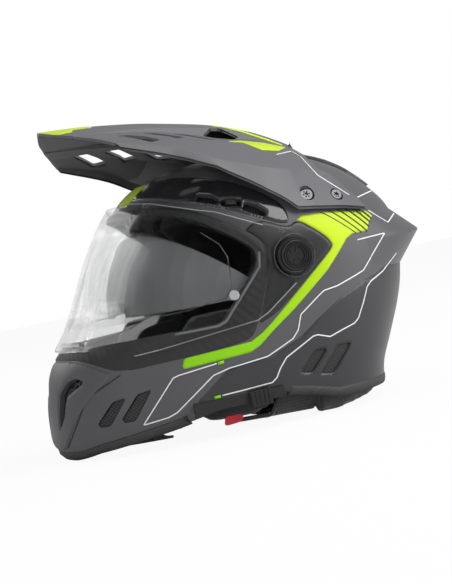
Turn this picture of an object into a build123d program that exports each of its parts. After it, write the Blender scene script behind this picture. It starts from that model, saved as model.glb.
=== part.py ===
from build123d import *

import os
from math import cos, radians, sin

# Dual sport helmet: shell, peak, visor, sun visor, vents, liner and retention strap.
# The origin is on the floor under the middle of the helmet, the face looks along -Y,
# +X is the wearer's left and +Z is up. Lengths are in millimetres.
# Side outlines are shares of the shell's front reach and height, plan outlines of its
# half width and front reach, and front outlines of its half width and height.

# Overall size of the shell
shell_height = 238.0
shell_front = 184.0
shell_rear = 165.5
shell_half_width = 129.0
shell_wall = 4.5
front_power = 2.25
rear_power = 2.3
outer_points = 36
inner_points = 24

# Visor pivot, which is also the widest line of the shell
pivot_y = 19.0
pivot_z = 141.0

# Level sections of the shell: height, front, rear and half width, as shares
shell_section_shares = [
    (-0.034, 0.935, 0.749, 0.863),
    (0.05, 0.995, 0.749, 0.899),
    (0.126, 1.0, 0.767, 0.926),
    (0.218, 0.984, 0.834, 0.953),
    (0.336, 0.935, 0.918, 0.977),
    (0.441, 0.815, 0.97, 0.992),
    (0.588, 0.696, 1.0, 1.0),
    (0.706, 0.614, 0.967, 0.973),
    (0.807, 0.538, 0.852, 0.899),
    (0.882, 0.462, 0.722, 0.791),
    (0.941, 0.364, 0.562, 0.64),
    (0.979, 0.25, 0.393, 0.442),
    (1.0, 0.087, 0.217, 0.202),
]

# Small fits
seat_gap = 0.3
running_gap = 0.05
overrun = 400.0

# Plates let into the shell's face
pocket_depth = 1.8
plate_proud = 0.8

# Bottom edge of the shell and the rubber trim on it
edge_side_shares = [
    (-1.196, 0.009), (-0.951, 0.009), (-0.88, 0.029), (-0.717, 0.05), (-0.549, 0.071), (-0.38, 0.097),
    (-0.212, 0.109), (-0.033, 0.109), (0.076, 0.092), (0.239, 0.059), (0.402, 0.055), (1.196, 0.05),
]
trim_lap = 2.2
trim_height = 6.5
trim_proud = 1.2
trim_inside = 1.5

# Eye port and the rubber seal round it
port_side_shares = [
    (-1.196, 0.399), (-0.315, 0.399), (-0.272, 0.408), (-0.065, 0.58), (-0.054, 0.63), (-0.087, 0.672),
    (-0.326, 0.824), (-0.489, 0.857), (-1.196, 0.861),
]
seal_side_shares = [
    (-1.196, 0.378), (-0.897, 0.378), (-0.842, 0.34), (-0.755, 0.298), (-0.511, 0.307), (-0.185, 0.319),
    (-0.13, 0.353), (-0.022, 0.563), (-0.011, 0.634), (-0.049, 0.689), (-0.304, 0.842), (-0.489, 0.876),
    (-1.196, 0.88),
]
seal_proud = 1.4
seal_lap = 1.8
seal_inside = 1.5
seal_inner_width = 3.0

# Visor
visor_thickness = 2.3
visor_half_width = 133.5
visor_arm_radius = 17.0
visor_points = 28
visor_section_shares = [
    (0.319, 0.978, 0.996),
    (0.37, 0.932, 0.998),
    (0.429, 0.875, 1.0),
    (0.496, 0.812, 1.0),
    (0.597, 0.739, 1.0),
    (0.693, 0.674, 0.981),
    (0.798, 0.59, 0.918),
    (0.87, 0.522, 0.831),
    (0.933, 0.446, 0.719),
]
visor_side_shares = [
    (-1.196, 0.405), (-0.859, 0.405), (-0.81, 0.374), (-0.755, 0.347), (-0.505, 0.361), (-0.315, 0.378),
    (-0.136, 0.387), (-0.06, 0.412), (0.152, 0.529), (0.103, 0.597), (0.147, 0.668), (0.0, 0.735),
    (-0.19, 0.815), (-0.272, 0.84), (-0.402, 0.891), (-0.5, 0.899), (-1.196, 0.899),
]
visor_tab_reach = 9.0
visor_tab_left = 36.0
visor_tab_right = 8.0
visor_tab_z = 99.0
visor_tab_height = 4.0

# Pivot pins and their caps
pin_radius = 6.0
cap_radius = 16.5
cap_height = 4.9
cap_rim_radius = 12.5
cap_rim_depth = 1.4
cap_notch_count = 12
cap_notch_radius = 1.3

# Clear insert inside the visor and its pins
insert_inset = 2.9
insert_thickness = 1.2
insert_side_shares = [
    (-1.196, 0.471), (-0.261, 0.471), (-0.207, 0.525), (-0.196, 0.664), (-0.326, 0.782), (-1.196, 0.811),
]
insert_pin_y = -40.0
insert_pin_z = 118.0
insert_pin_radius = 4.2
insert_shaft_radius = 2.0
insert_pin_head = 1.4

# Sun visor, turned about its own hinge
sun_hinge_y = 0.0
sun_hinge_z = 114.0
sun_radius = 106.0
sun_half_width = 115.0
sun_power = 2.6
sun_thickness = 2.2
sun_sector = 41.0
sun_travel = 38.0
sun_clearance = 1.6
sun_spare_angle = 5.0
sun_end_share = 0.03
sun_boss_radius = 12.0
sun_boss_thickness = 3.0
sun_pin_radius = 3.0
sun_notch_half_width = 20.0
sun_notch_height = 14.0
sun_points = 12

# Sun visor slider on the lower left edge
rail_front_y = -88.0
rail_rear_y = -9.0
rail_bottom = 24.0
rail_top = 33.0
rail_proud = 3.2
knob_rear_y = -21.0
knob_length = 19.0
knob_bottom = 20.5
knob_top = 34.0
knob_thickness = 3.6
knob_rib_count = 5
knob_rib_height = 0.9
knob_rib_share = 0.3

# Side plates round the pivots, brow panels and brow strip
plate_side_shares = [
    (-0.337, 0.353), (-0.065, 0.374), (0.179, 0.513), (0.304, 0.584), (0.326, 0.605), (0.293, 0.643),
    (0.168, 0.723), (0.12, 0.697), (0.0, 0.744), (-0.065, 0.735), (-0.217, 0.63),
]
brow_side_shares = [
    (-0.467, 0.912), (-0.38, 0.891), (-0.261, 0.845), (-0.185, 0.819), (0.0, 0.744), (0.076, 0.714),
    (0.13, 0.706), (0.141, 0.769), (0.054, 0.84), (-0.054, 0.899), (-0.19, 0.95), (-0.326, 0.971),
    (-0.457, 0.941),
]
brow_inner_x = 17.0
brow_front_hole_shares = [
    (-0.25, 0.857), (-0.223, 0.878), (-0.174, 0.866), (-0.152, 0.84), (-0.174, 0.828), (-0.217, 0.845),
]
brow_rear_hole_shares = [
    (-0.071, 0.794), (-0.043, 0.815), (0.0, 0.798), (0.038, 0.765), (0.016, 0.752), (-0.027, 0.769),
]
brow_slide_y_share = -0.106
brow_slide_z_share = 0.823
brow_slide_slope = -11.0
brow_slider_length = 9.0
brow_slider_height = 5.2
brow_slider_thickness = 2.0
brow_slider_travel = 2.5
brow_slider_room = 0.8
strip_half_width = 16.4
strip_side_shares = [
    (-0.5, 0.908), (-0.457, 0.884), (-0.326, 0.933), (-0.315, 0.992), (-0.5, 0.975),
]

# Chin beak, its mouth vents and the slots in the chin and at the rear
beak_front_shares = [
    (0.0, 0.376), (0.31, 0.361), (0.481, 0.336), (0.62, 0.296), (0.426, 0.21), (0.233, 0.084),
    (0.132, 0.04), (-0.132, 0.04), (-0.233, 0.084), (-0.426, 0.21), (-0.62, 0.296), (-0.481, 0.336),
    (-0.31, 0.361),
]
mouth_front_shares = [
    (0.419, 0.286), (0.333, 0.305), (0.24, 0.294), (0.147, 0.252), (0.136, 0.197), (0.124, 0.122),
    (0.202, 0.164), (0.248, 0.244),
]
chin_slot_side_shares = [
    (-0.75, 0.21), (-0.81, 0.202), (-0.88, 0.13), (-0.875, 0.116), (-0.832, 0.116),
]
chin_slot_step_y_share = 0.109
chin_slot_step_z_share = 0.013
chin_slot_growth = 1.1
rear_slot_side_shares = [
    (0.136, 0.239), (0.207, 0.235), (0.109, 0.16), (0.049, 0.168),
]
rear_slot_step_y_share = 0.12
rear_slot_growth = 1.25
chin_mesh_side_shares = [
    (-0.609, 0.244), (-0.826, 0.227), (-0.913, 0.097), (-0.717, 0.097),
]
rear_mesh_side_shares = [
    (0.364, 0.261), (0.12, 0.261), (0.022, 0.143), (0.25, 0.126),
]
mesh_thickness = 1.6
mesh_margin = 3.0
mesh_cell = 9.0
mesh_bar = 2.2
mesh_columns = 7
mesh_lines = 9

# Peak: height of the spine, then its edge, its foot, the wing's middle, the fold and the lower edge
peak_station_shares = [
    (-0.815, 1.225, 0.426, 1.176, 0.43, 1.174, 0.581, 1.159, 0.736, 1.143, 0.775, 1.105),
    (-0.587, 1.218, 0.395, 1.172, 0.411, 1.166, 0.589, 1.143, 0.767, 1.111, 0.779, 1.101),
    (-0.332, 1.2, 0.349, 1.16, 0.364, 1.145, 0.585, 1.115, 0.806, 1.059, 0.829, 1.029),
    (-0.158, 1.179, 0.31, 1.141, 0.333, 1.118, 0.605, 1.082, 0.876, 0.996, 0.915, 0.966),
    (0.054, 1.147, 0.24, 1.118, 0.271, 1.08, 0.597, 1.034, 0.922, 0.931, 0.977, 0.847),
    (0.185, 1.118, 0.202, 1.095, 0.233, 1.059, 0.566, 1.008, 0.899, 0.908, 0.992, 0.763),
    (0.272, 1.092, 0.178, 1.074, 0.209, 1.044, 0.531, 0.992, 0.853, 0.893, 0.981, 0.754),
    (0.435, 1.023, 0.14, 1.013, 0.163, 1.0, 0.474, 0.945, 0.787, 0.859, 0.934, 0.735),
    (0.576, 0.95, 0.093, 0.941, 0.109, 0.935, 0.419, 0.878, 0.729, 0.803, 0.868, 0.71),
]
peak_thickness = 2.6
peak_plan_shares = [
    (0.0, -0.799), (0.233, -0.758), (0.465, -0.693), (0.667, -0.625), (0.779, -0.582), (0.946, -0.326),
    (1.085, 0.0), (1.085, 0.56), (0.845, 0.56), (0.76, 0.397), (0.457, 0.418), (0.147, 0.467),
]
peak_lip_front_shares = [
    (0.0, 1.158), (0.698, 1.134), (0.806, 1.101),
]
peak_slot_plan_shares = [
    (0.55, -0.522), (0.512, -0.462), (0.651, -0.348), (0.698, -0.402),
]
peak_slot_step_shares = [(0.0, 0.0), (-0.085, 0.152), (-0.155, 0.315)]
peak_lip_rear_share = 0.5
peak_window_side_shares = [
    (-0.038, 1.097), (0.022, 1.122), (0.071, 1.118), (0.168, 1.069), (0.12, 1.061), (0.0, 1.08),
]
peak_window_inner_x = 16.0
screw_front_y = 47.0
screw_front_z = 189.0
screw_rear_y = 77.0
screw_rear_z = 184.0
screw_front_radius = 6.2
screw_rear_radius = 5.2
screw_shank_radius = 2.5
screw_head_height = 2.4
screw_seat = 1.8
screw_recess = 1.2
screw_length = 15.0
screw_lean = 27.0
screw_turn = 25.0
nut_radius = 6.0
nut_thickness = 2.5
screw_socket_radius = 1.6

# Exhaust cover on the crown and the spoiler below it
cover_plan_shares = [
    (0.0, 0.489), (0.14, 0.489), (0.233, 0.587), (0.264, 0.734), (0.256, 1.033), (0.0, 1.033),
]
cover_height = 5.5
cover_wall = 2.0
cover_end_z = 187.0
spoiler_z = 141.0
spoiler_half_width = 120.0
spoiler_power = 2.8
spoiler_rise = 25.0
spoiler_drop = 29.0
spoiler_front_y = 84.0

# Foam liner, comfort liner and pads
foam_gap = 0.4
foam_inset = 34.0
comfort_inset = 43.0
comfort_gap = 0.4
liner_side_shares = [
    (-1.196, 0.479), (0.315, 0.479), (0.315, 0.164), (1.196, 0.164), (1.196, -0.252), (-1.196, -0.252),
]
crown_bottom = 128.0
chin_foam_thickness = 20.0
chin_foam_bottom = 14.0
chin_foam_top = 88.0
chin_foam_rear_y = -98.0
pad_gap = 0.4
cheek_side_shares = [
    (-0.489, 0.252), (-0.467, 0.101), (-0.38, 0.05), (-0.163, 0.042), (-0.092, 0.067), (-0.076, 0.21),
    (-0.076, 0.286), (-0.033, 0.412), (-0.13, 0.454), (-0.38, 0.454), (-0.467, 0.387),
]
cheek_inner_x = 72.0
cheek_crown = 14.0
cheek_draw = 8.0
neck_front_y = 26.0
neck_top = 34.0
neck_bulge_shares = [(-0.1, 0.55), (0.2, 0.9), (0.55, 1.0), (0.85, 0.85), (1.1, 0.55)]
neck_thickness = 27.0
curtain_bottom = 7.0
curtain_thickness = 3.0
curtain_width = 34.0
curtain_rear_y = -104.0
tab_side_shares = [
    (-0.337, 0.034), (-0.326, 0.063), (-0.283, 0.088), (-0.239, 0.088), (-0.239, 0.038),
]
tab_x = 100.0
tab_thickness = 2.6

# Chin strap and ratchet buckle
strap_width = 20.0
strap_thickness = 1.6
strap_y = -1.0
strap_near_shares = [
    (0.891, 0.265), (0.876, 0.185), (0.822, 0.113), (0.744, 0.067), (0.636, 0.046), (0.512, 0.044),
]
strap_far_shares = [
    (0.891, 0.265), (0.876, 0.185), (0.822, 0.113), (0.744, 0.067), (0.636, 0.046), (0.155, 0.044),
]
anchor_z = 57.0
anchor_width = 24.0
anchor_height = 16.0
buckle_inner_x = 26.0
buckle_outer_x = 66.0
buckle_width = 26.0
buckle_height = 11.0
buckle_wall = 2.2
buckle_base_z = 6.6
tongue_width = 15.0
tongue_thickness = 2.4
tongue_tooth_count = 9
lever_length = 34.0
lever_thickness = 2.4
lever_pin_radius = 1.1
lever_barrel_radius = 2.3


def side_outline(shares):
    """Points in side view, Y and Z."""
    return [(y * shell_front, z * shell_height) for y, z in shares]


def plan_outline(shares):
    """Points seen from above, X and Y."""
    return [(x * shell_half_width, y * shell_front) for x, y in shares]


def front_outline(shares):
    """Points seen from the front, X and Z."""
    return [(x * shell_half_width, z * shell_height) for x, z in shares]


def grown(points, amount):
    """A closed outline whose sides are all moved outwards by the same amount."""
    count = len(points)
    area = sum(a[0] * b[1] - b[0] * a[1] for a, b in zip(points, points[1:] + points[:1]))
    outward = amount if area > 0 else -amount
    moved = []
    for index, (x, y) in enumerate(points):
        before = Vector(x - points[index - 1][0], y - points[index - 1][1]).normalized()
        after = Vector(points[(index + 1) % count][0] - x, points[(index + 1) % count][1] - y).normalized()
        normal = Vector(before.Y + after.Y, -before.X - after.X)
        normal = normal / max(normal.length**2 / 2, normal.length / 2)
        moved.append((x + outward * normal.X, y + outward * normal.Y))
    return moved


def prism(plane, points, depth, grow=0.0, start=0.0):
    """A prism of a closed outline, grown or shrunk, starting at a distance along the plane's normal."""
    with BuildPart() as bar:
        with BuildSketch(plane.offset(start)):
            with BuildLine():
                Polyline(*grown(points, grow), close=True)
            make_face()
        extrude(amount=depth)
    return bar.part


def side_prism(points, grow=0.0, low=-overrun, high=overrun):
    """A prism along X of an outline in side view."""
    return prism(Plane.YZ, points, high - low, grow, low)


def plan_prism(points, grow=0.0, low=-overrun, high=overrun):
    """A prism along Z of an outline seen from above."""
    return prism(Plane.XY, points, high - low, grow, low)


def front_prism(points, grow=0.0, low=-overrun, high=overrun):
    """A prism along Y of an outline seen from the front."""
    return prism(Plane.XZ, points, high - low, grow, -high)


def half_space(axis_plane, distance):
    """Everything on the plane's positive side from a distance."""
    with BuildPart() as block:
        with BuildSketch(axis_plane.offset(distance)):
            Rectangle(2 * overrun, 2 * overrun)
        extrude(amount=overrun)
    return block.part


def cross_bar(radius, y, z, low, high):
    """A round bar along X."""
    with BuildPart() as bar:
        with BuildSketch(Plane.YZ.offset(low)):
            with Locations((y, z)):
                Circle(radius)
        extrude(amount=high - low)
    return bar.part


def front_disc(radius, x, z, low, high):
    """A round bar along Y."""
    with BuildPart() as bar:
        with BuildSketch(Plane.XZ.offset(-high)):
            with Locations((x, z)):
                Circle(radius)
        extrude(amount=high - low)
    return bar.part


def oval(front, rear, half_width, rear_bend, count):
    """Corners of a level oval of two superellipse halves that meet at the pivot line."""
    points = []
    for index in range(count):
        angle = radians(360 * (index + 0.5) / count)
        across = cos(angle)
        along = sin(angle)
        bend = rear_bend if along > 0 else front_power
        reach = rear if along > 0 else front
        scale = (abs(across) ** bend + abs(along) ** bend) ** (-1 / bend)
        points.append((half_width * scale * across, pivot_y + reach * scale * along))
    return points


def faceted(rings):
    """A solid of flat triangles through rings of corners, the same on both sides of X = 0, with flat ends."""
    faces = []
    for low, high in zip(rings, rings[1:]):
        for place, first in enumerate(low):
            after = (place + 1) % len(low)
            second, third, fourth = low[after], high[after], high[place]
            if first[0] + second[0] > 0:
                triangles = ((first, second, third), (first, third, fourth))
            else:
                triangles = ((first, second, fourth), (second, third, fourth))
            faces += [Face(Wire.make_polygon(corners)) for corners in triangles]
    faces += [Face(Wire.make_polygon(ring)) for ring in (rings[0], rings[-1])]
    return Part() + Solid(Shell(faces))


def level_loft(rows, count):
    """A solid through level ovals: rows of height, front, rear, half width and rear bend."""
    rings = []
    for z, front, rear, half_width, rear_bend in rows:
        rings.append([(x, y, z) for x, y in oval(front, rear, half_width, rear_bend, count)])
    return faceted(rings)


def shell_row(shares, inset):
    """One level section of the shell drawn in by an inset."""
    height_share, front_share, rear_share, width_share = shares
    z = height_share * shell_height
    if z > pivot_z:
        z = pivot_z + (z - pivot_z) * (1 - inset / (shell_height - pivot_z))
    long_scale = 1 - 2 * inset / (shell_front + shell_rear)
    wide_scale = 1 - inset / shell_half_width
    front = (front_share * shell_front + pivot_y) * long_scale
    rear = (rear_share * shell_rear - pivot_y) * long_scale
    return z, front, rear, width_share * shell_half_width * wide_scale, rear_power


def shell_form(inset, count=outer_points):
    """The shell's outer form as a solid, drawn in by an inset."""
    return level_loft([shell_row(shares, inset) for shares in shell_section_shares], count)


def row_at(z, inset):
    """The shell's level section at any height."""
    rows = [shell_row(shares, inset) for shares in shell_section_shares]
    for lower, upper in zip(rows, rows[1:]):
        if lower[0] <= z <= upper[0]:
            part = (z - lower[0]) / (upper[0] - lower[0])
            middle = [a + (b - a) * part for a, b in zip(lower, upper)]
            return z, *middle[1:]
    return rows[-1]


def visor_form(inset):
    """The visor's outer form with straight sides behind the pivot, drawn in by an inset."""
    rings = []
    rear_y = pivot_y + 2 * visor_arm_radius
    for height_share, front_share, width_share in visor_section_shares:
        half_width = width_share * visor_half_width - inset
        front = front_share * shell_front + pivot_y - inset
        corners = [p for p in oval(front, front, half_width, front_power, visor_points) if p[1] < pivot_y]
        corners = [(-half_width, pivot_y), *corners, (half_width, pivot_y), (half_width, rear_y), (-half_width, rear_y)]
        rings.append([(x, y, height_share * shell_height) for x, y in corners])
    return faceted(rings)


def sun_profile(grow):
    """Half section of the sun visor from its hinge to its middle, as X and radius."""
    thickness = sun_thickness + 2 * grow
    outer = []
    inner = []
    for index in range(2 * sun_points + 1):
        share = sun_end_share + (1 - 2 * sun_end_share) * index / (2 * sun_points)
        angle = radians(180 * share)
        scale = (abs(cos(angle)) ** sun_power + sin(angle) ** sun_power) ** (-1 / sun_power)
        x = cos(angle) * scale
        r = sin(angle) * scale
        outer.append(((sun_half_width + grow) * x, -(sun_radius + grow) * r))
        inner.append(((sun_half_width + grow - thickness) * x, -(sun_radius + grow - thickness) * r))
    return outer + inner[::-1]


def sun_sweep(start, sweep, grow=0.0):
    """The sun visor's section turned about its hinge from a start angle above level."""
    hinge = Axis((0, sun_hinge_y, sun_hinge_z), (-1, 0, 0))
    with BuildPart() as turned:
        with BuildSketch(Plane((0, sun_hinge_y, sun_hinge_z), x_dir=(1, 0, 0), z_dir=(0, 0, 1))):
            with BuildLine():
                Polyline(*sun_profile(grow), close=True)
            make_face()
        revolve(axis=hinge, revolution_arc=sweep)
    return turned.part.rotate(hinge, start)


def peak_form(inset):
    """The peak's upper form as a solid down to its lower edge, drawn in by an inset."""
    rings = []
    for shares in peak_station_shares:
        y = shares[0] * shell_front
        spine = shares[1] * shell_height - inset
        half = []
        for index in range(2, len(shares), 2):
            x = shares[index] * shell_half_width - inset
            z = shares[index + 1] * shell_height - inset
            half.append((x, y, z))
        rings.append([(0, y, spine), *half, *[(-x, y, z) for x, y, z in reversed(half)]])
    return faceted(rings)


def honeycomb(strip, zone, open_zone, plane, middle, columns, lines):
    """A thin plate within a zone, pierced by six-sided cells across a plane."""
    with BuildPart() as cells:
        with BuildSketch(plane):
            with Locations(middle):
                with HexLocations(mesh_cell / 2, columns, lines):
                    RegularPolygon((mesh_cell - mesh_bar) / 2, 6, major_radius=False)
        extrude(amount=overrun)
        add(open_zone, mode=Mode.INTERSECT)
    with BuildPart() as plate:
        add(strip)
        add(zone, mode=Mode.INTERSECT)
        add(cells.part, mode=Mode.SUBTRACT)
    return plate.part


def centre(points):
    """The mean of an outline's corners."""
    return sum(p[0] for p in points) / len(points), sum(p[1] for p in points) / len(points)


def ribbon(points, thickness):
    """The closed outline of a band of even thickness along an open line."""
    sides = []
    for index, (x, z) in enumerate(points):
        before = points[max(index - 1, 0)]
        after = points[min(index + 1, len(points) - 1)]
        along = Vector(after[0] - before[0], after[1] - before[1]).normalized()
        sides.append((along.Y * thickness / 2, -along.X * thickness / 2))
    upper = [(x + dx, z + dz) for (x, z), (dx, dz) in zip(points, sides)]
    lower = [(x - dx, z - dz) for (x, z), (dx, dz) in zip(points, sides)]
    return upper + lower[::-1]


def mirrored(solid):
    """A solid's mirror image across the middle plane."""
    return mirror(solid, about=Plane.YZ, mode=Mode.PRIVATE)


os.makedirs("parts", exist_ok=True)

# Forms that several pieces share
shell_solid = shell_form(0)
proud_form = shell_form(-plate_proud)
pocket_form = shell_form(pocket_depth)
seal_form = shell_form(-seal_proud)
trim_form = shell_form(-trim_proud)
wall_form = shell_form(shell_wall, inner_points)
inner_lip_form = shell_form(shell_wall + trim_inside, inner_points)
foam_form = shell_form(shell_wall + foam_gap, inner_points)
cavity_form = shell_form(foam_inset, inner_points)
pad_form = shell_form(shell_wall + trim_inside + pad_gap, inner_points)
visor_solid = visor_form(0)

edge_line = side_outline(edge_side_shares)
edge_ends = [(edge_line[-1][0], -overrun), (edge_line[0][0], -overrun)]
below_edge = side_prism([*edge_line, *edge_ends])
port_cut = side_prism(side_outline(port_side_shares))
seal_zone = side_prism(side_outline(seal_side_shares))
seal_zone_free = side_prism(side_outline(seal_side_shares), seat_gap)

# Zones of the plates on the left, as prisms that reach outwards
plate_zone = side_prism(side_outline(plate_side_shares), low=0) - seal_zone
plate_zone_small = side_prism(side_outline(plate_side_shares), -seat_gap, low=0) - seal_zone_free
brow_zone = side_prism(side_outline(brow_side_shares), low=brow_inner_x) - seal_zone
brow_zone_small = side_prism(side_outline(brow_side_shares), -seat_gap, low=brow_inner_x + seat_gap) - seal_zone_free
beak_zone = front_prism(front_outline(beak_front_shares), low=-overrun, high=chin_foam_rear_y) - seal_zone
beak_zone_small = (
    front_prism(front_outline(beak_front_shares), -seat_gap, low=-overrun, high=chin_foam_rear_y) - seal_zone_free
)
mouth_zone = front_prism(front_outline(mouth_front_shares), low=-overrun, high=chin_foam_rear_y)
mouth_zone_wide = front_prism(front_outline(mouth_front_shares), mesh_margin, -overrun, chin_foam_rear_y)


def slot_points(shares, step_y_share, step_z_share, growth, count=2):
    """Side outlines of a slot and of its larger neighbours further back."""
    outlines = []
    for index in range(count):
        size = growth**index
        y0, z0 = shares[0]
        moved = []
        for y, z in shares:
            moved.append((y0 + (y - y0) * size + step_y_share * index, z0 + (z - z0) * size + step_z_share * index))
        outlines.append(side_outline(moved))
    return outlines


chin_slots = slot_points(chin_slot_side_shares, chin_slot_step_y_share, chin_slot_step_z_share, chin_slot_growth)
rear_slots = slot_points(rear_slot_side_shares, rear_slot_step_y_share, 0, rear_slot_growth)

# Screws through the peak's arms: middle of the head, and head radius
screw_rows = [(screw_front_y, screw_front_z, screw_front_radius), (screw_rear_y, screw_rear_z, screw_rear_radius)]


def screw_plane(y, z):
    """A plane across a screw where it enters the shell, facing outwards."""
    row = row_at(z, 0)
    share = (y - pivot_y) / row[2]
    x = row[3] * (1 - share**rear_power) ** (1 / rear_power)
    lean = radians(screw_lean)
    turn = radians(screw_turn * (y - pivot_y) / shell_rear)
    normal = (cos(lean) * cos(turn), cos(lean) * sin(turn), sin(lean))
    return Plane((x, y, z), z_dir=normal)


def disc(plane, radius, start, depth):
    """A round disc across a plane."""
    with BuildPart() as cylinder:
        with BuildSketch(plane.offset(start)):
            Circle(radius)
        extrude(amount=depth)
    return cylinder.part


screw_holes = [disc(screw_plane(y, z), screw_shank_radius + seat_gap, -screw_length, 2 * screw_length)
               for y, z, radius in screw_rows]

with BuildPart() as outer_shell:
    add(shell_solid)
    add(wall_form, mode=Mode.SUBTRACT)
    add(below_edge, mode=Mode.SUBTRACT)
    add(port_cut, mode=Mode.SUBTRACT)
    for zone in (plate_zone, brow_zone):
        add(zone - pocket_form, mode=Mode.SUBTRACT)
        add(mirrored(zone - pocket_form), mode=Mode.SUBTRACT)
    add(beak_zone - pocket_form, mode=Mode.SUBTRACT)
    add(mouth_zone, mode=Mode.SUBTRACT)
    add(mirrored(mouth_zone), mode=Mode.SUBTRACT)
    for points in [*chin_slots, *rear_slots]:
        add(side_prism(points), mode=Mode.SUBTRACT)
    for hole in screw_holes:
        add(hole, mode=Mode.SUBTRACT)
        add(mirrored(hole), mode=Mode.SUBTRACT)
outer_shell.part.label = "outer_shell"
export_step(outer_shell.part, "parts/outer_shell.step")
print("outer_shell", len(outer_shell.part.solids()), outer_shell.part.volume)

# Rubber trim that grips the bottom edge
trim_top = [(y, z + trim_height) for y, z in edge_line]
trim_bottom = [(y, z - trim_lap) for y, z in reversed(edge_line)]
rail_room = plan_prism(
    [(0, rail_front_y - knob_thickness), (overrun, rail_front_y - knob_thickness),
     (overrun, rail_rear_y + knob_thickness), (0, rail_rear_y + knob_thickness)],
) - shell_solid
wall_band = shell_solid - wall_form - below_edge
with BuildPart() as edge_trim:
    add(trim_form)
    add(inner_lip_form, mode=Mode.SUBTRACT)
    add(side_prism([*trim_top, *trim_bottom]), mode=Mode.INTERSECT)
    add(wall_band, mode=Mode.SUBTRACT)
    add(rail_room, mode=Mode.SUBTRACT)
edge_trim.part.label = "edge_trim"
export_step(edge_trim.part, "parts/edge_trim.step")
print("edge_trim", len(edge_trim.part.solids()), edge_trim.part.volume)

# Rubber seal: an outer lip on the shell, a face on the port's edge and an inner lip
port_small = side_prism(side_outline(port_side_shares), -seal_lap)
port_wide = side_prism(side_outline(port_side_shares), seal_inner_width)
with BuildPart() as eye_port_gasket:
    add(seal_form)
    add(shell_solid, mode=Mode.SUBTRACT)
    add(seal_zone, mode=Mode.INTERSECT)
    add((port_cut - port_small) & seal_form)
    add((port_wide - port_small) & wall_form)
    add(inner_lip_form, mode=Mode.SUBTRACT)
    add(port_small, mode=Mode.SUBTRACT)
eye_port_gasket.part.label = "eye_port_gasket"
export_step(eye_port_gasket.part, "parts/eye_port_gasket.step")
print("eye_port_gasket", len(eye_port_gasket.part.solids()), eye_port_gasket.part.volume)

# Clear visor with its lift tab
visor_zone = side_prism(side_outline(visor_side_shares))
pivot_disc = cross_bar(visor_arm_radius, pivot_y, pivot_z, -overrun, overrun)
pin_hole = cross_bar(pin_radius + running_gap, pivot_y, pivot_z, -overrun, overrun)
insert_hole = cross_bar(insert_shaft_radius + running_gap, insert_pin_y, insert_pin_z, -overrun, overrun)
visor_tab_top = visor_tab_z + visor_tab_height
visor_tab_zone = side_prism([(-overrun, visor_tab_z), (0, visor_tab_z), (0, visor_tab_top), (-overrun, visor_tab_top)],
                            low=visor_tab_right, high=visor_tab_left)
with BuildPart() as visor:
    add(visor_solid)
    add(visor_form(visor_thickness), mode=Mode.SUBTRACT)
    add(visor_zone + pivot_disc, mode=Mode.INTERSECT)
    add(pin_hole, mode=Mode.SUBTRACT)
    add(insert_hole, mode=Mode.SUBTRACT)
    add((visor_form(-visor_tab_reach) & visor_tab_zone) - visor_solid)
visor.part.label = "visor"
export_step(visor.part, "parts/visor.step")
print("visor", len(visor.part.solids()), visor.part.volume)

# Clear insert and its two pins
with BuildPart() as insert_lens:
    add(visor_form(insert_inset))
    add(visor_form(insert_inset + insert_thickness), mode=Mode.SUBTRACT)
    add(side_prism(side_outline(insert_side_shares)), mode=Mode.INTERSECT)
    add(insert_hole, mode=Mode.SUBTRACT)
insert_lens.part.label = "insert_lens"
export_step(insert_lens.part, "parts/insert_lens.step")
print("insert_lens", len(insert_lens.part.solids()), insert_lens.part.volume)

insert_grip = visor_solid - visor_form(insert_inset + insert_thickness)
insert_grip -= cross_bar(insert_shaft_radius, insert_pin_y, insert_pin_z, 0, overrun)
with BuildPart() as insert_pin:
    add(visor_form(-insert_pin_head))
    add(visor_form(insert_inset + insert_thickness + insert_pin_head), mode=Mode.SUBTRACT)
    add(cross_bar(insert_pin_radius, insert_pin_y, insert_pin_z, 0, overrun), mode=Mode.INTERSECT)
    add(insert_grip, mode=Mode.SUBTRACT)
with BuildPart() as insert_pins:
    add(insert_pin.part)
    add(mirrored(insert_pin.part))
insert_pins.part.label = "insert_pins"
export_step(insert_pins.part, "parts/insert_pins.step")
print("insert_pins", len(insert_pins.part.solids()), insert_pins.part.volume)

# Side plates with the visor's pivot pins, and the caps on the visor's arms
pin_end = visor_half_width - running_gap
cap_base = visor_half_width + running_gap
with BuildPart() as visor_base:
    add(plate_zone_small & proud_form)
    add(pocket_form, mode=Mode.SUBTRACT)
    add(cross_bar(pin_radius, pivot_y, pivot_z, shell_half_width - pocket_depth, pin_end))
with BuildPart() as pivot_cap:
    with BuildSketch(Plane.YZ.offset(cap_base)):
        with Locations((pivot_y, pivot_z)):
            Circle(cap_radius)
            with PolarLocations(cap_radius, cap_notch_count):
                Circle(cap_notch_radius, mode=Mode.SUBTRACT)
    extrude(amount=cap_height)
    with BuildSketch(Plane.YZ.offset(cap_base + cap_height)):
        with Locations((pivot_y, pivot_z)):
            Circle(cap_rim_radius)
            Circle(cap_rim_radius - cap_rim_depth, mode=Mode.SUBTRACT)
    extrude(amount=-cap_rim_depth, mode=Mode.SUBTRACT)
with BuildPart() as pivot_caps:
    add(pivot_cap.part)
    add(mirrored(pivot_cap.part))
pivot_caps.part.label = "pivot_caps"
export_step(pivot_caps.part, "parts/pivot_caps.step")
for side, base in (("left", visor_base.part), ("right", mirrored(visor_base.part))):
    base.label = f"visor_base_{side}"
    export_step(base, f"parts/visor_base_{side}.step")
print("visor_base", len(visor_base.part.solids()), visor_base.part.volume)

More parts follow.
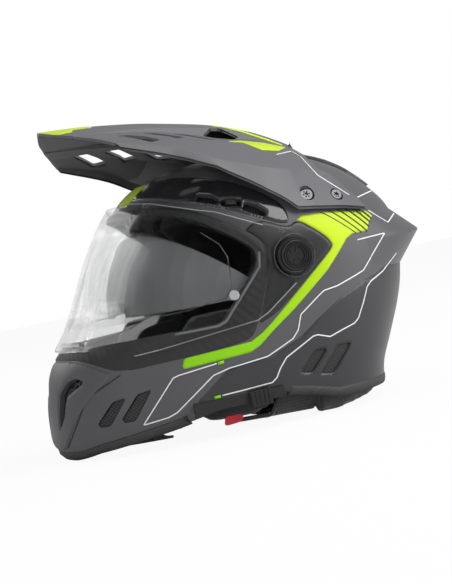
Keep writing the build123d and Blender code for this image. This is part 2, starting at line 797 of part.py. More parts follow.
# Brow panels with two air holes and a track between them for the slider
def slider_corners(end_room, side_room):
    """The brow slider's outline in side view with room at its ends and sides."""
    slope = radians(brow_slide_slope)
    middle = Vector(brow_slide_y_share * shell_front, brow_slide_z_share * shell_height)
    along = Vector(cos(slope), sin(slope)) * (brow_slider_length / 2 + end_room)
    up = Vector(-sin(slope), cos(slope)) * (brow_slider_height / 2 + side_room)
    corners = [middle - along - up, middle + along - up, middle + along + up, middle - along + up]
    return [(corner.X, corner.Y) for corner in corners]


front_hole = side_prism(side_outline(brow_front_hole_shares), low=0)
rear_hole = side_prism(side_outline(brow_rear_hole_shares), low=0)
slider_track = side_prism(slider_corners(brow_slider_travel + seat_gap, seat_gap), low=0)
with BuildPart() as brow_panel:
    add(brow_zone_small & proud_form)
    add(pocket_form, mode=Mode.SUBTRACT)
    add(front_hole, mode=Mode.SUBTRACT)
    add(rear_hole, mode=Mode.SUBTRACT)
    add(slider_track, mode=Mode.SUBTRACT)
print("brow_panel", len(brow_panel.part.solids()), brow_panel.part.volume)
for side, panel in (("left", brow_panel.part), ("right", mirrored(brow_panel.part))):
    panel.label = f"brow_panel_{side}"
    export_step(panel, f"parts/brow_panel_{side}.step")

# Chin beak with a mouth vent each side, and the meshes behind the vents and slots
mesh_strip = wall_form - shell_form(shell_wall + mesh_thickness, inner_points)
chin_mesh_outline = side_outline(chin_mesh_side_shares)
rear_mesh_outline = side_outline(rear_mesh_side_shares)
with BuildPart() as chin_beak:
    add(beak_zone_small & proud_form)
    add(pocket_form, mode=Mode.SUBTRACT)
    add(mouth_zone, mode=Mode.SUBTRACT)
    add(mirrored(mouth_zone), mode=Mode.SUBTRACT)
chin_beak.part.label = "chin_beak"
export_step(chin_beak.part, "parts/chin_beak.step")
print("chin_beak", len(chin_beak.part.solids()), chin_beak.part.volume)

mouth_middle = centre(front_outline(mouth_front_shares))
chin_middle = centre(chin_mesh_outline)
rear_middle = centre(rear_mesh_outline)
chin_open = side_prism(chin_slots[0], low=0) + side_prism(chin_slots[1], low=0)
rear_open = side_prism(rear_slots[0], low=0) + side_prism(rear_slots[1], low=0)
meshes = {
    "mouth_vent_mesh": honeycomb(mesh_strip, mouth_zone_wide, mouth_zone, Plane.XZ, mouth_middle, mesh_columns * 2, mesh_lines * 2),
    "chin_vent_mesh": honeycomb(mesh_strip, side_prism(chin_mesh_outline, low=0), chin_open, Plane.YZ, chin_middle, mesh_columns * 2, mesh_lines * 2),
    "rear_vent_mesh": honeycomb(mesh_strip, side_prism(rear_mesh_outline, low=0), rear_open, Plane.YZ, rear_middle, mesh_columns * 2, mesh_lines * 2),
}
for name, mesh in meshes.items():
    for side, plate in (("left", mesh), ("right", mirrored(mesh))):
        plate.label = f"{name}_{side}"
        export_step(plate, f"parts/{name}_{side}.step")
    print(name, len(mesh.solids()), mesh.volume)

# Peak with slots in its wings, windows in its spine and recesses for its screws
peak_solid = peak_form(0)
peak_half = plan_outline(peak_plan_shares)
peak_plan = peak_half + [(-x, y) for x, y in reversed(peak_half[1:])]
lip_half = front_outline(peak_lip_front_shares)
lip_outline = [*lip_half, (lip_half[-1][0], shell_height * 2), (-lip_half[-1][0], shell_height * 2)]
lip_outline += [(-x, z) for x, z in reversed(lip_half[1:])]
slot_first = plan_outline(peak_slot_plan_shares)
lip_front = front_prism(lip_outline, high=-peak_lip_rear_share * shell_front)
peak_lip = (peak_solid & lip_front) - plan_prism(peak_plan, -peak_thickness)
peak_cuts = [side_prism(side_outline(peak_window_side_shares), low=peak_window_inner_x, high=shell_half_width / 2)]
for step_x, step_y in peak_slot_step_shares:
    peak_cuts.append(plan_prism([(x + step_x * shell_half_width, y + step_y * shell_front) for x, y in slot_first]))
for (y, z, radius), hole in zip(screw_rows, screw_holes):
    peak_cuts += [hole, disc(screw_plane(y, z), radius + screw_recess, screw_seat, screw_length)]
with BuildPart() as peak:
    add(peak_solid)
    add(peak_form(peak_thickness), mode=Mode.SUBTRACT)
    add(peak_lip)
    add(plan_prism(peak_plan), mode=Mode.INTERSECT)
    add(shell_form(-seat_gap), mode=Mode.SUBTRACT)
    for cut in peak_cuts:
        add(cut, mode=Mode.SUBTRACT)
        add(mirrored(cut), mode=Mode.SUBTRACT)
peak.part.label = "peak"
export_step(peak.part, "parts/peak.step")
print("peak", len(peak.part.solids()), peak.part.volume)

# Peak screws and the nuts inside the shell
def peak_screw(y, z, radius):
    """One screw with a chamfered head and a socket."""
    plane = screw_plane(y, z)
    with BuildPart() as screw:
        add(disc(plane, screw_shank_radius, screw_seat - screw_length, screw_length))
        add(disc(plane, radius, screw_seat, screw_head_height))
        chamfer(screw.edges().group_by(Axis.X)[-1], screw_head_height / 4)
        add(disc(plane, screw_socket_radius, screw_seat + screw_head_height / 3, screw_head_height), mode=Mode.SUBTRACT)
    return screw.part


def peak_nut(y, z):
    """One nut that follows the shell's inner face."""
    plane = screw_plane(y, z)
    with BuildPart() as nut:
        add(disc(plane, nut_radius, -shell_wall - nut_thickness, nut_thickness + shell_wall))
        add(wall_form, mode=Mode.INTERSECT)
        add(disc(plane, screw_shank_radius + running_gap, -screw_length, 2 * screw_length), mode=Mode.SUBTRACT)
    return nut.part


with BuildPart() as peak_screws:
    for y, z, radius in screw_rows:
        add(peak_screw(y, z, radius))
        add(mirrored(peak_screw(y, z, radius)))
peak_screws.part.label = "peak_screws"
export_step(peak_screws.part, "parts/peak_screws.step")
print("peak_screws", len(peak_screws.part.solids()), peak_screws.part.volume)

with BuildPart() as peak_nuts:
    for y, z, radius in screw_rows:
        add(peak_nut(y, z))
        add(mirrored(peak_nut(y, z)))
peak_nuts.part.label = "peak_nuts"
export_step(peak_nuts.part, "parts/peak_nuts.step")
print("peak_nuts", len(peak_nuts.part.solids()), peak_nuts.part.volume)

# Lime strip between the brow panels
with BuildPart() as brow_strip:
    add(proud_form)
    add(shell_form(-seat_gap), mode=Mode.SUBTRACT)
    add(side_prism(side_outline(strip_side_shares), low=-strip_half_width, high=strip_half_width), mode=Mode.INTERSECT)
    add(seal_zone_free, mode=Mode.SUBTRACT)
brow_strip.part.label = "brow_strip"
export_step(brow_strip.part, "parts/brow_strip.step")
print("brow_strip", len(brow_strip.part.solids()), brow_strip.part.volume)

# Exhaust cover, open at its rear end
cover_half = plan_outline(cover_plan_shares)
cover_plan = cover_half + [(-x, y) for x, y in reversed(cover_half)][1:-1]
cover_duct = shell_form(cover_wall - cover_height) & plan_prism(grown(cover_plan, -cover_wall))
with BuildPart() as top_exhaust_cover:
    add(shell_form(-cover_height))
    add(plan_prism(cover_plan, low=cover_end_z), mode=Mode.INTERSECT)
    add(cover_duct, mode=Mode.SUBTRACT)
    add(shell_solid, mode=Mode.SUBTRACT)
top_exhaust_cover.part.label = "top_exhaust_cover"
export_step(top_exhaust_cover.part, "parts/top_exhaust_cover.step")
print("top_exhaust_cover", len(top_exhaust_cover.part.solids()), top_exhaust_cover.part.volume)

# Spoiler, a ridge that grows out of the back of the shell
spoiler_reach = shell_front + plate_proud - pivot_y
with BuildPart() as rear_spoiler:
    add(level_loft([
        row_at(spoiler_z - spoiler_drop, plate_proud),
        (spoiler_z, spoiler_reach, spoiler_reach, spoiler_half_width, spoiler_power),
        row_at(spoiler_z + spoiler_rise, plate_proud),
    ], outer_points))
    add(shell_solid, mode=Mode.SUBTRACT)
    add(half_space(Plane.XZ, -spoiler_front_y), mode=Mode.SUBTRACT)
rear_spoiler.part.label = "rear_spoiler"
export_step(rear_spoiler.part, "parts/rear_spoiler.step")
print("rear_spoiler", len(rear_spoiler.part.solids()), rear_spoiler.part.volume)

# Sun visor and its pivots
sun_boss = cross_bar(sun_boss_radius, sun_hinge_y, sun_hinge_z, sun_half_width - sun_boss_thickness, sun_half_width)
with BuildPart() as sun_visor:
    add(sun_sweep(0, sun_sector))
    add(side_prism([(-overrun, sun_hinge_z - sun_notch_height), (0, sun_hinge_z - sun_notch_height),
                    (0, sun_hinge_z + sun_notch_height), (-overrun, sun_hinge_z + sun_notch_height)],
                   low=-sun_notch_half_width, high=sun_notch_half_width), mode=Mode.SUBTRACT)
    add(sun_boss)
    add(mirrored(sun_boss))
    add(cross_bar(sun_pin_radius + running_gap, sun_hinge_y, sun_hinge_z, -overrun, overrun), mode=Mode.SUBTRACT)
sun_visor.part.label = "sun_visor"
export_step(sun_visor.part, "parts/sun_visor.step")
print("sun_visor", len(sun_visor.part.solids()), sun_visor.part.volume)

with BuildPart() as sun_pivot:
    add(cross_bar(sun_pin_radius, sun_hinge_y, sun_hinge_z, sun_half_width - sun_boss_thickness, shell_half_width))
    add(cross_bar(sun_boss_radius, sun_hinge_y, sun_hinge_z, sun_half_width + seat_gap, shell_half_width))
    add(wall_form, mode=Mode.INTERSECT)
with BuildPart() as sun_visor_pivots:
    add(sun_pivot.part)
    add(mirrored(sun_pivot.part))
sun_visor_pivots.part.label = "sun_visor_pivots"
export_step(sun_visor_pivots.part, "parts/sun_visor_pivots.step")
print("sun_visor_pivots", len(sun_visor_pivots.part.solids()), sun_visor_pivots.part.volume)

# Slider that lowers the sun visor, on a straight rail at the lower left edge
def side_x(y, z):
    """Half width of the shell's surface at a place in side view."""
    front, rear, half_width = row_at(z, 0)[1:4]
    reach, bend = (rear, rear_power) if y > pivot_y else (front, front_power)
    return half_width * (1 - abs((y - pivot_y) / reach) ** bend) ** (1 / bend)


rail_front_x = side_x(rail_front_y, rail_top)
rail_rear_x = side_x(rail_rear_y, rail_top)
rail_line = Vector(rail_rear_x - rail_front_x, rail_rear_y - rail_front_y).normalized()
rail_out = Vector(rail_line.Y, -rail_line.X)


def rail_point(along, out):
    """A point in plan at a distance along the rail from its front and out from the shell."""
    place = Vector(rail_front_x, rail_front_y) + rail_line * along + rail_out * out
    return place.X, place.Y


rail_length = (rail_rear_y - rail_front_y) / rail_line.Y
knob_start = (knob_rear_y - rail_front_y) / rail_line.Y - knob_length
with BuildPart() as slider_rail:
    add(plan_prism([rail_point(0, -rail_proud), rail_point(rail_length, -rail_proud),
                    rail_point(rail_length, rail_proud), rail_point(0, rail_proud)], low=rail_bottom, high=rail_top))
    add(shell_solid, mode=Mode.SUBTRACT)
slider_rail.part.label = "slider_rail"
export_step(slider_rail.part, "parts/slider_rail.step")
print("slider_rail", len(slider_rail.part.solids()), slider_rail.part.volume)

knob_base = rail_proud + seat_gap
with BuildPart() as sun_visor_slider:
    add(plan_prism([rail_point(knob_start, knob_base), rail_point(knob_start + knob_length, knob_base),
                    rail_point(knob_start + knob_length, knob_base + knob_thickness),
                    rail_point(knob_start, knob_base + knob_thickness)], low=knob_bottom, high=knob_top))
    for index in range(knob_rib_count):
        start = knob_start + knob_length * (index + knob_rib_share) / knob_rib_count
        stop = start + knob_length * knob_rib_share / knob_rib_count
        add(plan_prism([rail_point(start, knob_base), rail_point(stop, knob_base),
                        rail_point(stop, knob_base + knob_thickness + knob_rib_height),
                        rail_point(start, knob_base + knob_thickness + knob_rib_height)],
                       low=knob_bottom + knob_rib_height, high=knob_top - knob_rib_height))
sun_visor_slider.part.label = "sun_visor_slider"
export_step(sun_visor_slider.part, "parts/sun_visor_slider.step")
print("sun_visor_slider", len(sun_visor_slider.part.solids()), sun_visor_slider.part.volume, rail_line)

# Sliders that open the brow vents
with BuildPart() as brow_slider:
    add(shell_form(-brow_slider_thickness))
    add(shell_form(pocket_depth - brow_slider_room), mode=Mode.SUBTRACT)
    add(side_prism(slider_corners(0, 0), low=0), mode=Mode.INTERSECT)
print("brow_slider", len(brow_slider.part.solids()), brow_slider.part.volume)
for side, slider in (("left", brow_slider.part), ("right", mirrored(brow_slider.part))):
    slider.label = f"brow_slider_{side}"
    export_step(slider, f"parts/brow_slider_{side}.step")

# Foam liner with the pocket the sun visor swings into
sun_pocket = sun_sweep(-sun_spare_angle, sun_sector + sun_travel + 2 * sun_spare_angle, sun_clearance)
boss_pocket = cross_bar(sun_boss_radius + sun_clearance, sun_hinge_y, sun_hinge_z,
                        sun_half_width - sun_boss_thickness - sun_clearance, shell_half_width)
liner_cut = side_prism(side_outline(liner_side_shares))
port_clear = side_prism(side_outline(port_side_shares), 2 * seal_inner_width)
with BuildPart() as eps_liner:
    add(foam_form)
    add(cavity_form, mode=Mode.SUBTRACT)
    for cut in (liner_cut, port_clear, sun_pocket, boss_pocket, mirrored(boss_pocket)):
        add(cut, mode=Mode.SUBTRACT)
    for y, z, radius in screw_rows:
        cut = disc(screw_plane(y, z), nut_radius + seat_gap, -screw_length, screw_length)
        add(cut, mode=Mode.SUBTRACT)
        add(mirrored(cut), mode=Mode.SUBTRACT)
    mesh_room = side_prism(grown(rear_mesh_outline, seat_gap), low=0) - shell_form(shell_wall + mesh_thickness + seat_gap, inner_points)
    add(mesh_room, mode=Mode.SUBTRACT)
    add(mirrored(mesh_room), mode=Mode.SUBTRACT)
eps_liner.part.label = "eps_liner"
export_step(eps_liner.part, "parts/eps_liner.step")
print("eps_liner", len(eps_liner.part.solids()), eps_liner.part.volume)

with BuildPart() as crown_pad:
    add(shell_form(foam_inset + comfort_gap, inner_points))
    add(shell_form(comfort_inset, inner_points), mode=Mode.SUBTRACT)
    add(half_space(Plane.XY, crown_bottom - overrun), mode=Mode.SUBTRACT)
    add(port_clear, mode=Mode.SUBTRACT)
crown_pad.part.label = "crown_pad"
export_step(crown_pad.part, "parts/crown_pad.step")
print("crown_pad", len(crown_pad.part.solids()), crown_pad.part.volume)

# Foam of the chin bar, with passages behind the mouth vents
chin_foam_inset = shell_wall + mesh_thickness + pad_gap
with BuildPart() as chin_eps:
    add(shell_form(chin_foam_inset, inner_points))
    add(shell_form(chin_foam_inset + chin_foam_thickness, inner_points), mode=Mode.SUBTRACT)
    add(side_prism([(-overrun, chin_foam_bottom), (chin_foam_rear_y, chin_foam_bottom),
                    (chin_foam_rear_y, chin_foam_top), (-overrun, chin_foam_top)]), mode=Mode.INTERSECT)
    add(mouth_zone, mode=Mode.SUBTRACT)
    add(mirrored(mouth_zone), mode=Mode.SUBTRACT)
chin_eps.part.label = "chin_eps"
export_step(chin_eps.part, "parts/chin_eps.step")
print("chin_eps", len(chin_eps.part.solids()), chin_eps.part.volume)

# Cheek pads, crowned towards the face
cheek_outline = side_outline(cheek_side_shares)
tab_outline = side_outline(tab_side_shares)
tab_room = side_prism(tab_outline, seat_gap, low=tab_x - seat_gap, high=tab_x + tab_thickness + seat_gap)
with BuildPart() as cheek_pad:
    for x, draw in ((cheek_inner_x, -cheek_draw), (cheek_inner_x + cheek_crown, 0), (shell_half_width, 0)):
        with BuildSketch(Plane.YZ.offset(x)):
            with BuildLine():
                Polyline(*grown(cheek_outline, draw), close=True)
            make_face()
    loft(ruled=True)
    add(pad_form, mode=Mode.INTERSECT)
    add(tab_room, mode=Mode.SUBTRACT)
print("cheek_pad", len(cheek_pad.part.solids()), cheek_pad.part.volume)
with BuildPart() as release_tab:
    add(side_prism(tab_outline, low=tab_x, high=tab_x + tab_thickness))
for side, pad, tab in (("left", cheek_pad.part, release_tab.part),
                       ("right", mirrored(cheek_pad.part), mirrored(release_tab.part))):
    pad.label = f"cheek_pad_{side}"
    export_step(pad, f"parts/cheek_pad_{side}.step")
    tab.label = f"cheek_release_tab_{side}"
    export_step(tab, f"parts/cheek_release_tab_{side}.step")

# Neck roll, bulging inwards at mid height, and the curtain under the chin
roll_rows = []
for height_share, bulge_share in neck_bulge_shares:
    inset = shell_wall + trim_inside + pad_gap + neck_thickness * bulge_share
    roll_rows.append(row_at(neck_top * height_share, inset))
with BuildPart() as neck_roll:
    add(pad_form)
    add(level_loft(roll_rows, inner_points), mode=Mode.SUBTRACT)
    add(side_prism([(neck_front_y, 0), (overrun, 0), (overrun, neck_top), (neck_front_y, neck_top)]), mode=Mode.INTERSECT)
neck_roll.part.label = "neck_roll"
export_step(neck_roll.part, "parts/neck_roll.step")
print("neck_roll", len(neck_roll.part.solids()), neck_roll.part.volume)

with BuildPart() as chin_curtain:
    add(pad_form)
    add(shell_form(shell_wall + trim_inside + pad_gap + curtain_width, inner_points), mode=Mode.SUBTRACT)
    add(side_prism([(-overrun, curtain_bottom), (curtain_rear_y, curtain_bottom),
                    (curtain_rear_y, curtain_bottom + curtain_thickness),
                    (-overrun, curtain_bottom + curtain_thickness)]), mode=Mode.INTERSECT)
chin_curtain.part.label = "chin_curtain"
export_step(chin_curtain.part, "parts/chin_curtain.step")
print("chin_curtain", len(chin_curtain.part.solids()), chin_curtain.part.volume)

# Chin strap, its anchor plates and rivets
strap_low = strap_y - strap_width / 2
strap_high = strap_y + strap_width / 2
near_band = ribbon(front_outline(strap_near_shares), strap_thickness)
far_band = ribbon([(-x, z) for x, z in front_outline(strap_far_shares)], strap_thickness)
for side, band in (("left", near_band), ("right", far_band)):
    with BuildPart() as chin_strap:
        add(front_prism(band, low=strap_low, high=strap_high))
    chin_strap.part.label = f"chin_strap_{side}"
    export_step(chin_strap.part, f"parts/chin_strap_{side}.step")
    print("chin_strap", len(chin_strap.part.solids()), chin_strap.part.volume)

anchor_box = side_prism([
    (strap_y - anchor_width / 2, anchor_z - anchor_height / 2), (strap_y + anchor_width / 2, anchor_z - anchor_height / 2),
    (strap_y + anchor_width / 2, anchor_z + anchor_height / 2), (strap_y - anchor_width / 2, anchor_z + anchor_height / 2)], low=0)
strap_x = front_outline(strap_near_shares)[0][0] + strap_thickness / 2 + seat_gap
anchor = (wall_form & anchor_box) - half_space(Plane.YZ, strap_x - overrun)
with BuildPart() as strap_anchors:
    add(anchor)
    add(mirrored(anchor))
strap_anchors.part.label = "strap_anchors"
export_step(strap_anchors.part, "parts/strap_anchors.step")
print("strap_anchors", len(strap_anchors.part.solids()), strap_anchors.part.volume)

# Ratchet buckle: housing, toothed tongue, lever and lever pin
buckle_length = buckle_outer_x - buckle_inner_x
channel_width = tongue_width + 2 * seat_gap
tongue_z = buckle_base_z + buckle_wall + seat_gap
lever_z = tongue_z + tongue_thickness + 2 * seat_gap
lever_pin_x = buckle_outer_x - 2 * buckle_wall
lever_pin_z = lever_z + lever_barrel_radius
with BuildPart() as buckle_housing:
    with BuildSketch(Plane.YZ.offset(buckle_inner_x)):
        with Locations((strap_y, buckle_base_z + buckle_height / 2)):
            Rectangle(buckle_width, buckle_height)
        with Locations((strap_y, buckle_base_z + buckle_wall + buckle_height / 2)):
            Rectangle(channel_width, buckle_height, mode=Mode.SUBTRACT)
    extrude(amount=buckle_length)
    fillet(buckle_housing.edges().filter_by(Axis.X).group_by(Axis.Z)[-1], buckle_wall / 2)
    add(front_disc(lever_pin_radius + running_gap, lever_pin_x, lever_pin_z, strap_y - overrun, strap_y + overrun), mode=Mode.SUBTRACT)
buckle_housing.part.label = "buckle_housing"
export_step(buckle_housing.part, "parts/buckle_housing.step")
print("buckle_housing", len(buckle_housing.part.solids()), buckle_housing.part.volume)

tongue_start = front_outline(strap_far_shares)[-1][0]
tongue_end = lever_pin_x - buckle_wall
tooth_start = (buckle_inner_x + buckle_outer_x) / 2 - tongue_tooth_count * tongue_thickness
tongue_points = [(-tongue_start, tongue_z), (tongue_end, tongue_z), (tongue_end, tongue_z + tongue_thickness / 2)]
for index in reversed(range(tongue_tooth_count)):
    step = (tongue_end - tooth_start) / tongue_tooth_count
    tongue_points.append((tooth_start + step * (index + 1), tongue_z + tongue_thickness * 2 / 3))
    tongue_points.append((tooth_start + step * index, tongue_z + tongue_thickness))
tongue_points.append((-tongue_start, tongue_z + tongue_thickness))
with BuildPart() as ratchet_tongue:
    add(front_prism(tongue_points, low=strap_y - tongue_width / 2, high=strap_y + tongue_width / 2))
ratchet_tongue.part.label = "ratchet_tongue"
export_step(ratchet_tongue.part, "parts/ratchet_tongue.step")
print("ratchet_tongue", len(ratchet_tongue.part.solids()), ratchet_tongue.part.volume)

with BuildPart() as buckle_lever:
    with BuildSketch(Plane.XY.offset(lever_z)):
        with Locations((lever_pin_x + lever_thickness / 2 - lever_length / 2, strap_y)):
            Rectangle(lever_length, channel_width - 2 * seat_gap)
            with Locations((-lever_length / 2, 0)):
                Circle(tongue_width / 3)
    extrude(amount=lever_thickness)
    add(front_disc(lever_barrel_radius, lever_pin_x, lever_pin_z, strap_y - channel_width / 2 + seat_gap,
                   strap_y + channel_width / 2 - seat_gap))
    add(front_disc(lever_pin_radius + running_gap, lever_pin_x, lever_pin_z, strap_y - overrun, strap_y + overrun), mode=Mode.SUBTRACT)
buckle_lever.part.label = "buckle_lever"
export_step(buckle_lever.part, "parts/buckle_lever.step")
print("buckle_lever", len(buckle_lever.part.solids()), buckle_lever.part.volume)

with BuildPart() as lever_pin:
    add(front_disc(lever_pin_radius, lever_pin_x, lever_pin_z, strap_y - buckle_width / 2, strap_y + buckle_width / 2))
lever_pin.part.label = "lever_pin"
export_step(lever_pin.part, "parts/lever_pin.step")
print("lever_pin", len(lever_pin.part.solids()), lever_pin.part.volume)
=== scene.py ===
import math

import bmesh
import bpy
import numpy as np
from mathutils import Matrix, Vector
from mathutils.bvhtree import BVHTree


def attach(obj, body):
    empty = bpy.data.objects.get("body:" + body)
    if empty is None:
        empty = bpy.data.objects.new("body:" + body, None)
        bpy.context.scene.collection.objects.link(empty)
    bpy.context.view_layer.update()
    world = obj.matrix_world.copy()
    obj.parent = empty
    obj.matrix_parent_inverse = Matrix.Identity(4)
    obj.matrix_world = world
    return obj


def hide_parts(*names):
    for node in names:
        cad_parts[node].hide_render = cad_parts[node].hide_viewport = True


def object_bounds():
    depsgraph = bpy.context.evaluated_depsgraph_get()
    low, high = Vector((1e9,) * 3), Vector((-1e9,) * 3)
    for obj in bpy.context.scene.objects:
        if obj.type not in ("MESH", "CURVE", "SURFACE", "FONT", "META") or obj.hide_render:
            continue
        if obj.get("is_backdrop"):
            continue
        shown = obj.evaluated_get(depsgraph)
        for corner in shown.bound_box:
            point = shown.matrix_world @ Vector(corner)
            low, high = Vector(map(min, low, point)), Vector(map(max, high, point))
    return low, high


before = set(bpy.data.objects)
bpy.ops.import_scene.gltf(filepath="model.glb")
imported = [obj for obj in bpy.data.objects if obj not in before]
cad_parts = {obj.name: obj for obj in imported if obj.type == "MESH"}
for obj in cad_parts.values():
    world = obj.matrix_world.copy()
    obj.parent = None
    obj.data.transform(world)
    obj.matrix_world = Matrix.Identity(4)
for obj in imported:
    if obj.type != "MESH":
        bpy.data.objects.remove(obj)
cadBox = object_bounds()

# Lengths in this script are in millimetres and go into meshes in metres.
metre = 0.001
pivot = (19.0, 141.0)  # visor pivot, Y and Z
views = {"side": [1, 2], "plan": [0, 1], "front": [0, 2]}
sides = ((1, "left"), (-1, "right"))
square = ((-1, -1), (1, -1), (1, 1), (-1, 1))
bandScale = 314  # a wave texture's scale for bands one millimetre apart
scene = bpy.context.scene


def newObject(name, data):  # an object at the origin, linked to the scene
    thing = bpy.data.objects.new(name, data)
    scene.collection.objects.link(thing)
    return thing


def hexColour(code):  # sRGB hex to linear red, green, blue, alpha
    parts = np.array([int(code[i : i + 2], 16) / 255 for i in (1, 3, 5)])
    linear = np.where(parts <= 0.04045, parts / 12.92, ((parts + 0.055) / 1.055) ** 2.4)
    return (*[float(part) for part in linear], 1.0)


def addNode(tree, kind, settings=None, links=None):  # one node, its settings and what feeds it
    node = tree.nodes.new(kind)
    for key, value in (settings or {}).items():
        if isinstance(key, int) or key in node.inputs:
            node.inputs[key].default_value = value
        else:
            setattr(node, key, value)
    for key, source in (links or {}).items():
        tree.links.new(source, node.inputs[key])
    return node


def newLook(name, surface, build):
    # A material: Principled settings, and a function that adds patterns and says which sockets they feed.
    look = bpy.data.materials.new(name)
    look.use_nodes = True
    tree = look.node_tree
    shader = tree.nodes["Principled BSDF"]
    for key, value in surface.items():
        shader.inputs[key].default_value = value
    where = addNode(tree, "ShaderNodeTexCoord").outputs["Object"]
    for key, source in build(tree, where).items():
        tree.links.new(source, shader.inputs[key])
    return look


multiply = {"data_type": "RGBA", "blend_type": "MULTIPLY", "Factor": 1.0}


def grainy(base, grainSize, depth, roughness, spread=0.06, mottle=30.0):
    # Fine moulded grain as bump, and a faint drift of colour and roughness; sizes in millimetres.
    def build(tree, where):
        place = {"Vector": where}
        grain = addNode(tree, "ShaderNodeTexNoise", {"Scale": 1000 / grainSize, "Detail": 3.0}, place)
        drift = addNode(tree, "ShaderNodeTexNoise", {"Scale": 1000 / mottle, "Detail": 2.0}, place)
        level = {"Value": drift.outputs["Fac"]}
        height = {"Height": grain.outputs["Fac"]}
        bump = addNode(tree, "ShaderNodeBump", {"Strength": 0.25, "Distance": depth * metre}, height)
        tone = addNode(tree, "ShaderNodeMapRange", {"To Min": 1 - spread, "To Max": 1 + spread}, level)
        tint = addNode(tree, "ShaderNodeMix", {**multiply, 6: hexColour(base)}, {7: tone.outputs["Result"]})
        span = {"To Min": roughness - 0.04, "To Max": roughness + 0.05}
        rough = addNode(tree, "ShaderNodeMapRange", span, level).outputs["Result"]
        return {"Normal": bump.outputs["Normal"], "Base Color": tint.outputs[2], "Roughness": rough}

    return build


def ribbed(base, pitch, depth, roughness):
    # Slanting moulded ribs on the bead of the rubber seal; along one axis they come about every four pitches.
    def build(tree, where):
        settings = {"Scale": 1000 / pitch / 6.283, "Distortion": 0.0, "bands_direction": "DIAGONAL"}
        wave = addNode(tree, "ShaderNodeTexWave", settings, {"Vector": where})
        height = {"Height": wave.outputs["Fac"]}
        bump = addNode(tree, "ShaderNodeBump", {"Strength": 0.6, "Distance": depth * metre}, height)
        return {**grainy(base, 0.6, 0.05, roughness)(tree, where), "Normal": bump.outputs["Normal"]}

    return build


def limeLitFromAbove(tree, where):  # lime lacquer whose colour turns from green below to a paler yellow above, painted light for its lit upper part
    height = addNode(tree, "ShaderNodeSeparateXYZ", {}, {"Vector": where}).outputs["Z"]
    rise = addNode(tree, "ShaderNodeMapRange", {"From Min": 0.075, "From Max": 0.15}, {"Value": height})
    shades = {"data_type": "RGBA", 6: hexColour("#8CD202"), 7: hexColour("#C3DF00")}
    tint = addNode(tree, "ShaderNodeMix", shades, {"Factor": rise.outputs["Result"]})
    return {"Base Color": tint.outputs[2]}


def crossed(tree, where, spacing, operation):  # two wave patterns across Y and Z, joined by a sum
    waves = {}
    for count, direction in enumerate("YZ"):
        settings = {"Scale": bandScale / spacing, "bands_direction": direction}
        waves[count] = addNode(tree, "ShaderNodeTexWave", settings, {"Vector": where}).outputs["Fac"]
    return addNode(tree, "ShaderNodeMath", {"operation": operation}, waves).outputs[0]


def meshed(wire, gap, spacing):
    # Expanded mesh: two wave patterns crossed at 45 degrees, wires over gaps coloured dark as painted shade in the
    # openings; spacing in millimetres.
    def build(tree, where):
        tilt = addNode(tree, "ShaderNodeMapping", {"Rotation": (math.pi / 4, 0, 0)}, {"Vector": where})
        highest = {"Value": crossed(tree, tilt.outputs["Vector"], spacing, "MAXIMUM")}
        wires = addNode(tree, "ShaderNodeMapRange", {"From Min": 0.75, "From Max": 0.9}, highest)
        shades = {"data_type": "RGBA", 6: hexColour(gap), 7: hexColour(wire)}
        tint = addNode(tree, "ShaderNodeMix", shades, {"Factor": wires.outputs["Result"]})
        height = {"Height": wires.outputs["Result"]}
        bump = addNode(tree, "ShaderNodeBump", {"Strength": 0.8, "Distance": 0.5 * metre}, height)
        return {"Base Color": tint.outputs[2], "Normal": bump.outputs["Normal"]}

    return build


def woven(base, thread):
    # Plain weave: two crossed wave patterns a thread apart, and a little fuzz in the colour.
    def build(tree, where):
        fibres = addNode(tree, "ShaderNodeTexNoise", {"Scale": 700.0, "Detail": 2.0}, {"Vector": where})
        height = {"Height": crossed(tree, where, thread, "MULTIPLY")}
        bump = addNode(tree, "ShaderNodeBump", {"Strength": 0.7, "Distance": 0.3 * metre}, height)
        fuzz = {"Value": fibres.outputs["Fac"]}
        tone = addNode(tree, "ShaderNodeMapRange", {"To Min": 0.75, "To Max": 1.3}, fuzz)
        tint = addNode(tree, "ShaderNodeMix", {**multiply, 6: hexColour(base)}, {7: tone.outputs["Result"]})
        return {"Base Color": tint.outputs[2], "Normal": bump.outputs["Normal"]}

    return build


def clear(code, ior, roughness, through, cover, coat=1.0):
    # Polished polycarbonate; through is how far it refracts, cover how much of it hides what lies behind.
    def build(tree, where):
        haze = addNode(tree, "ShaderNodeTexNoise", {"Scale": 25.0, "Detail": 2.0}, {"Vector": where})
        span = {"To Min": roughness, "To Max": roughness + 0.02}
        rough = addNode(tree, "ShaderNodeMapRange", span, {"Value": haze.outputs["Fac"]})
        return {"Roughness": rough.outputs["Result"]}

    surface = {"Base Color": hexColour(code), "IOR": ior, "Transmission Weight": through}
    return {**surface, "Alpha": cover, "Coat Weight": coat}, build


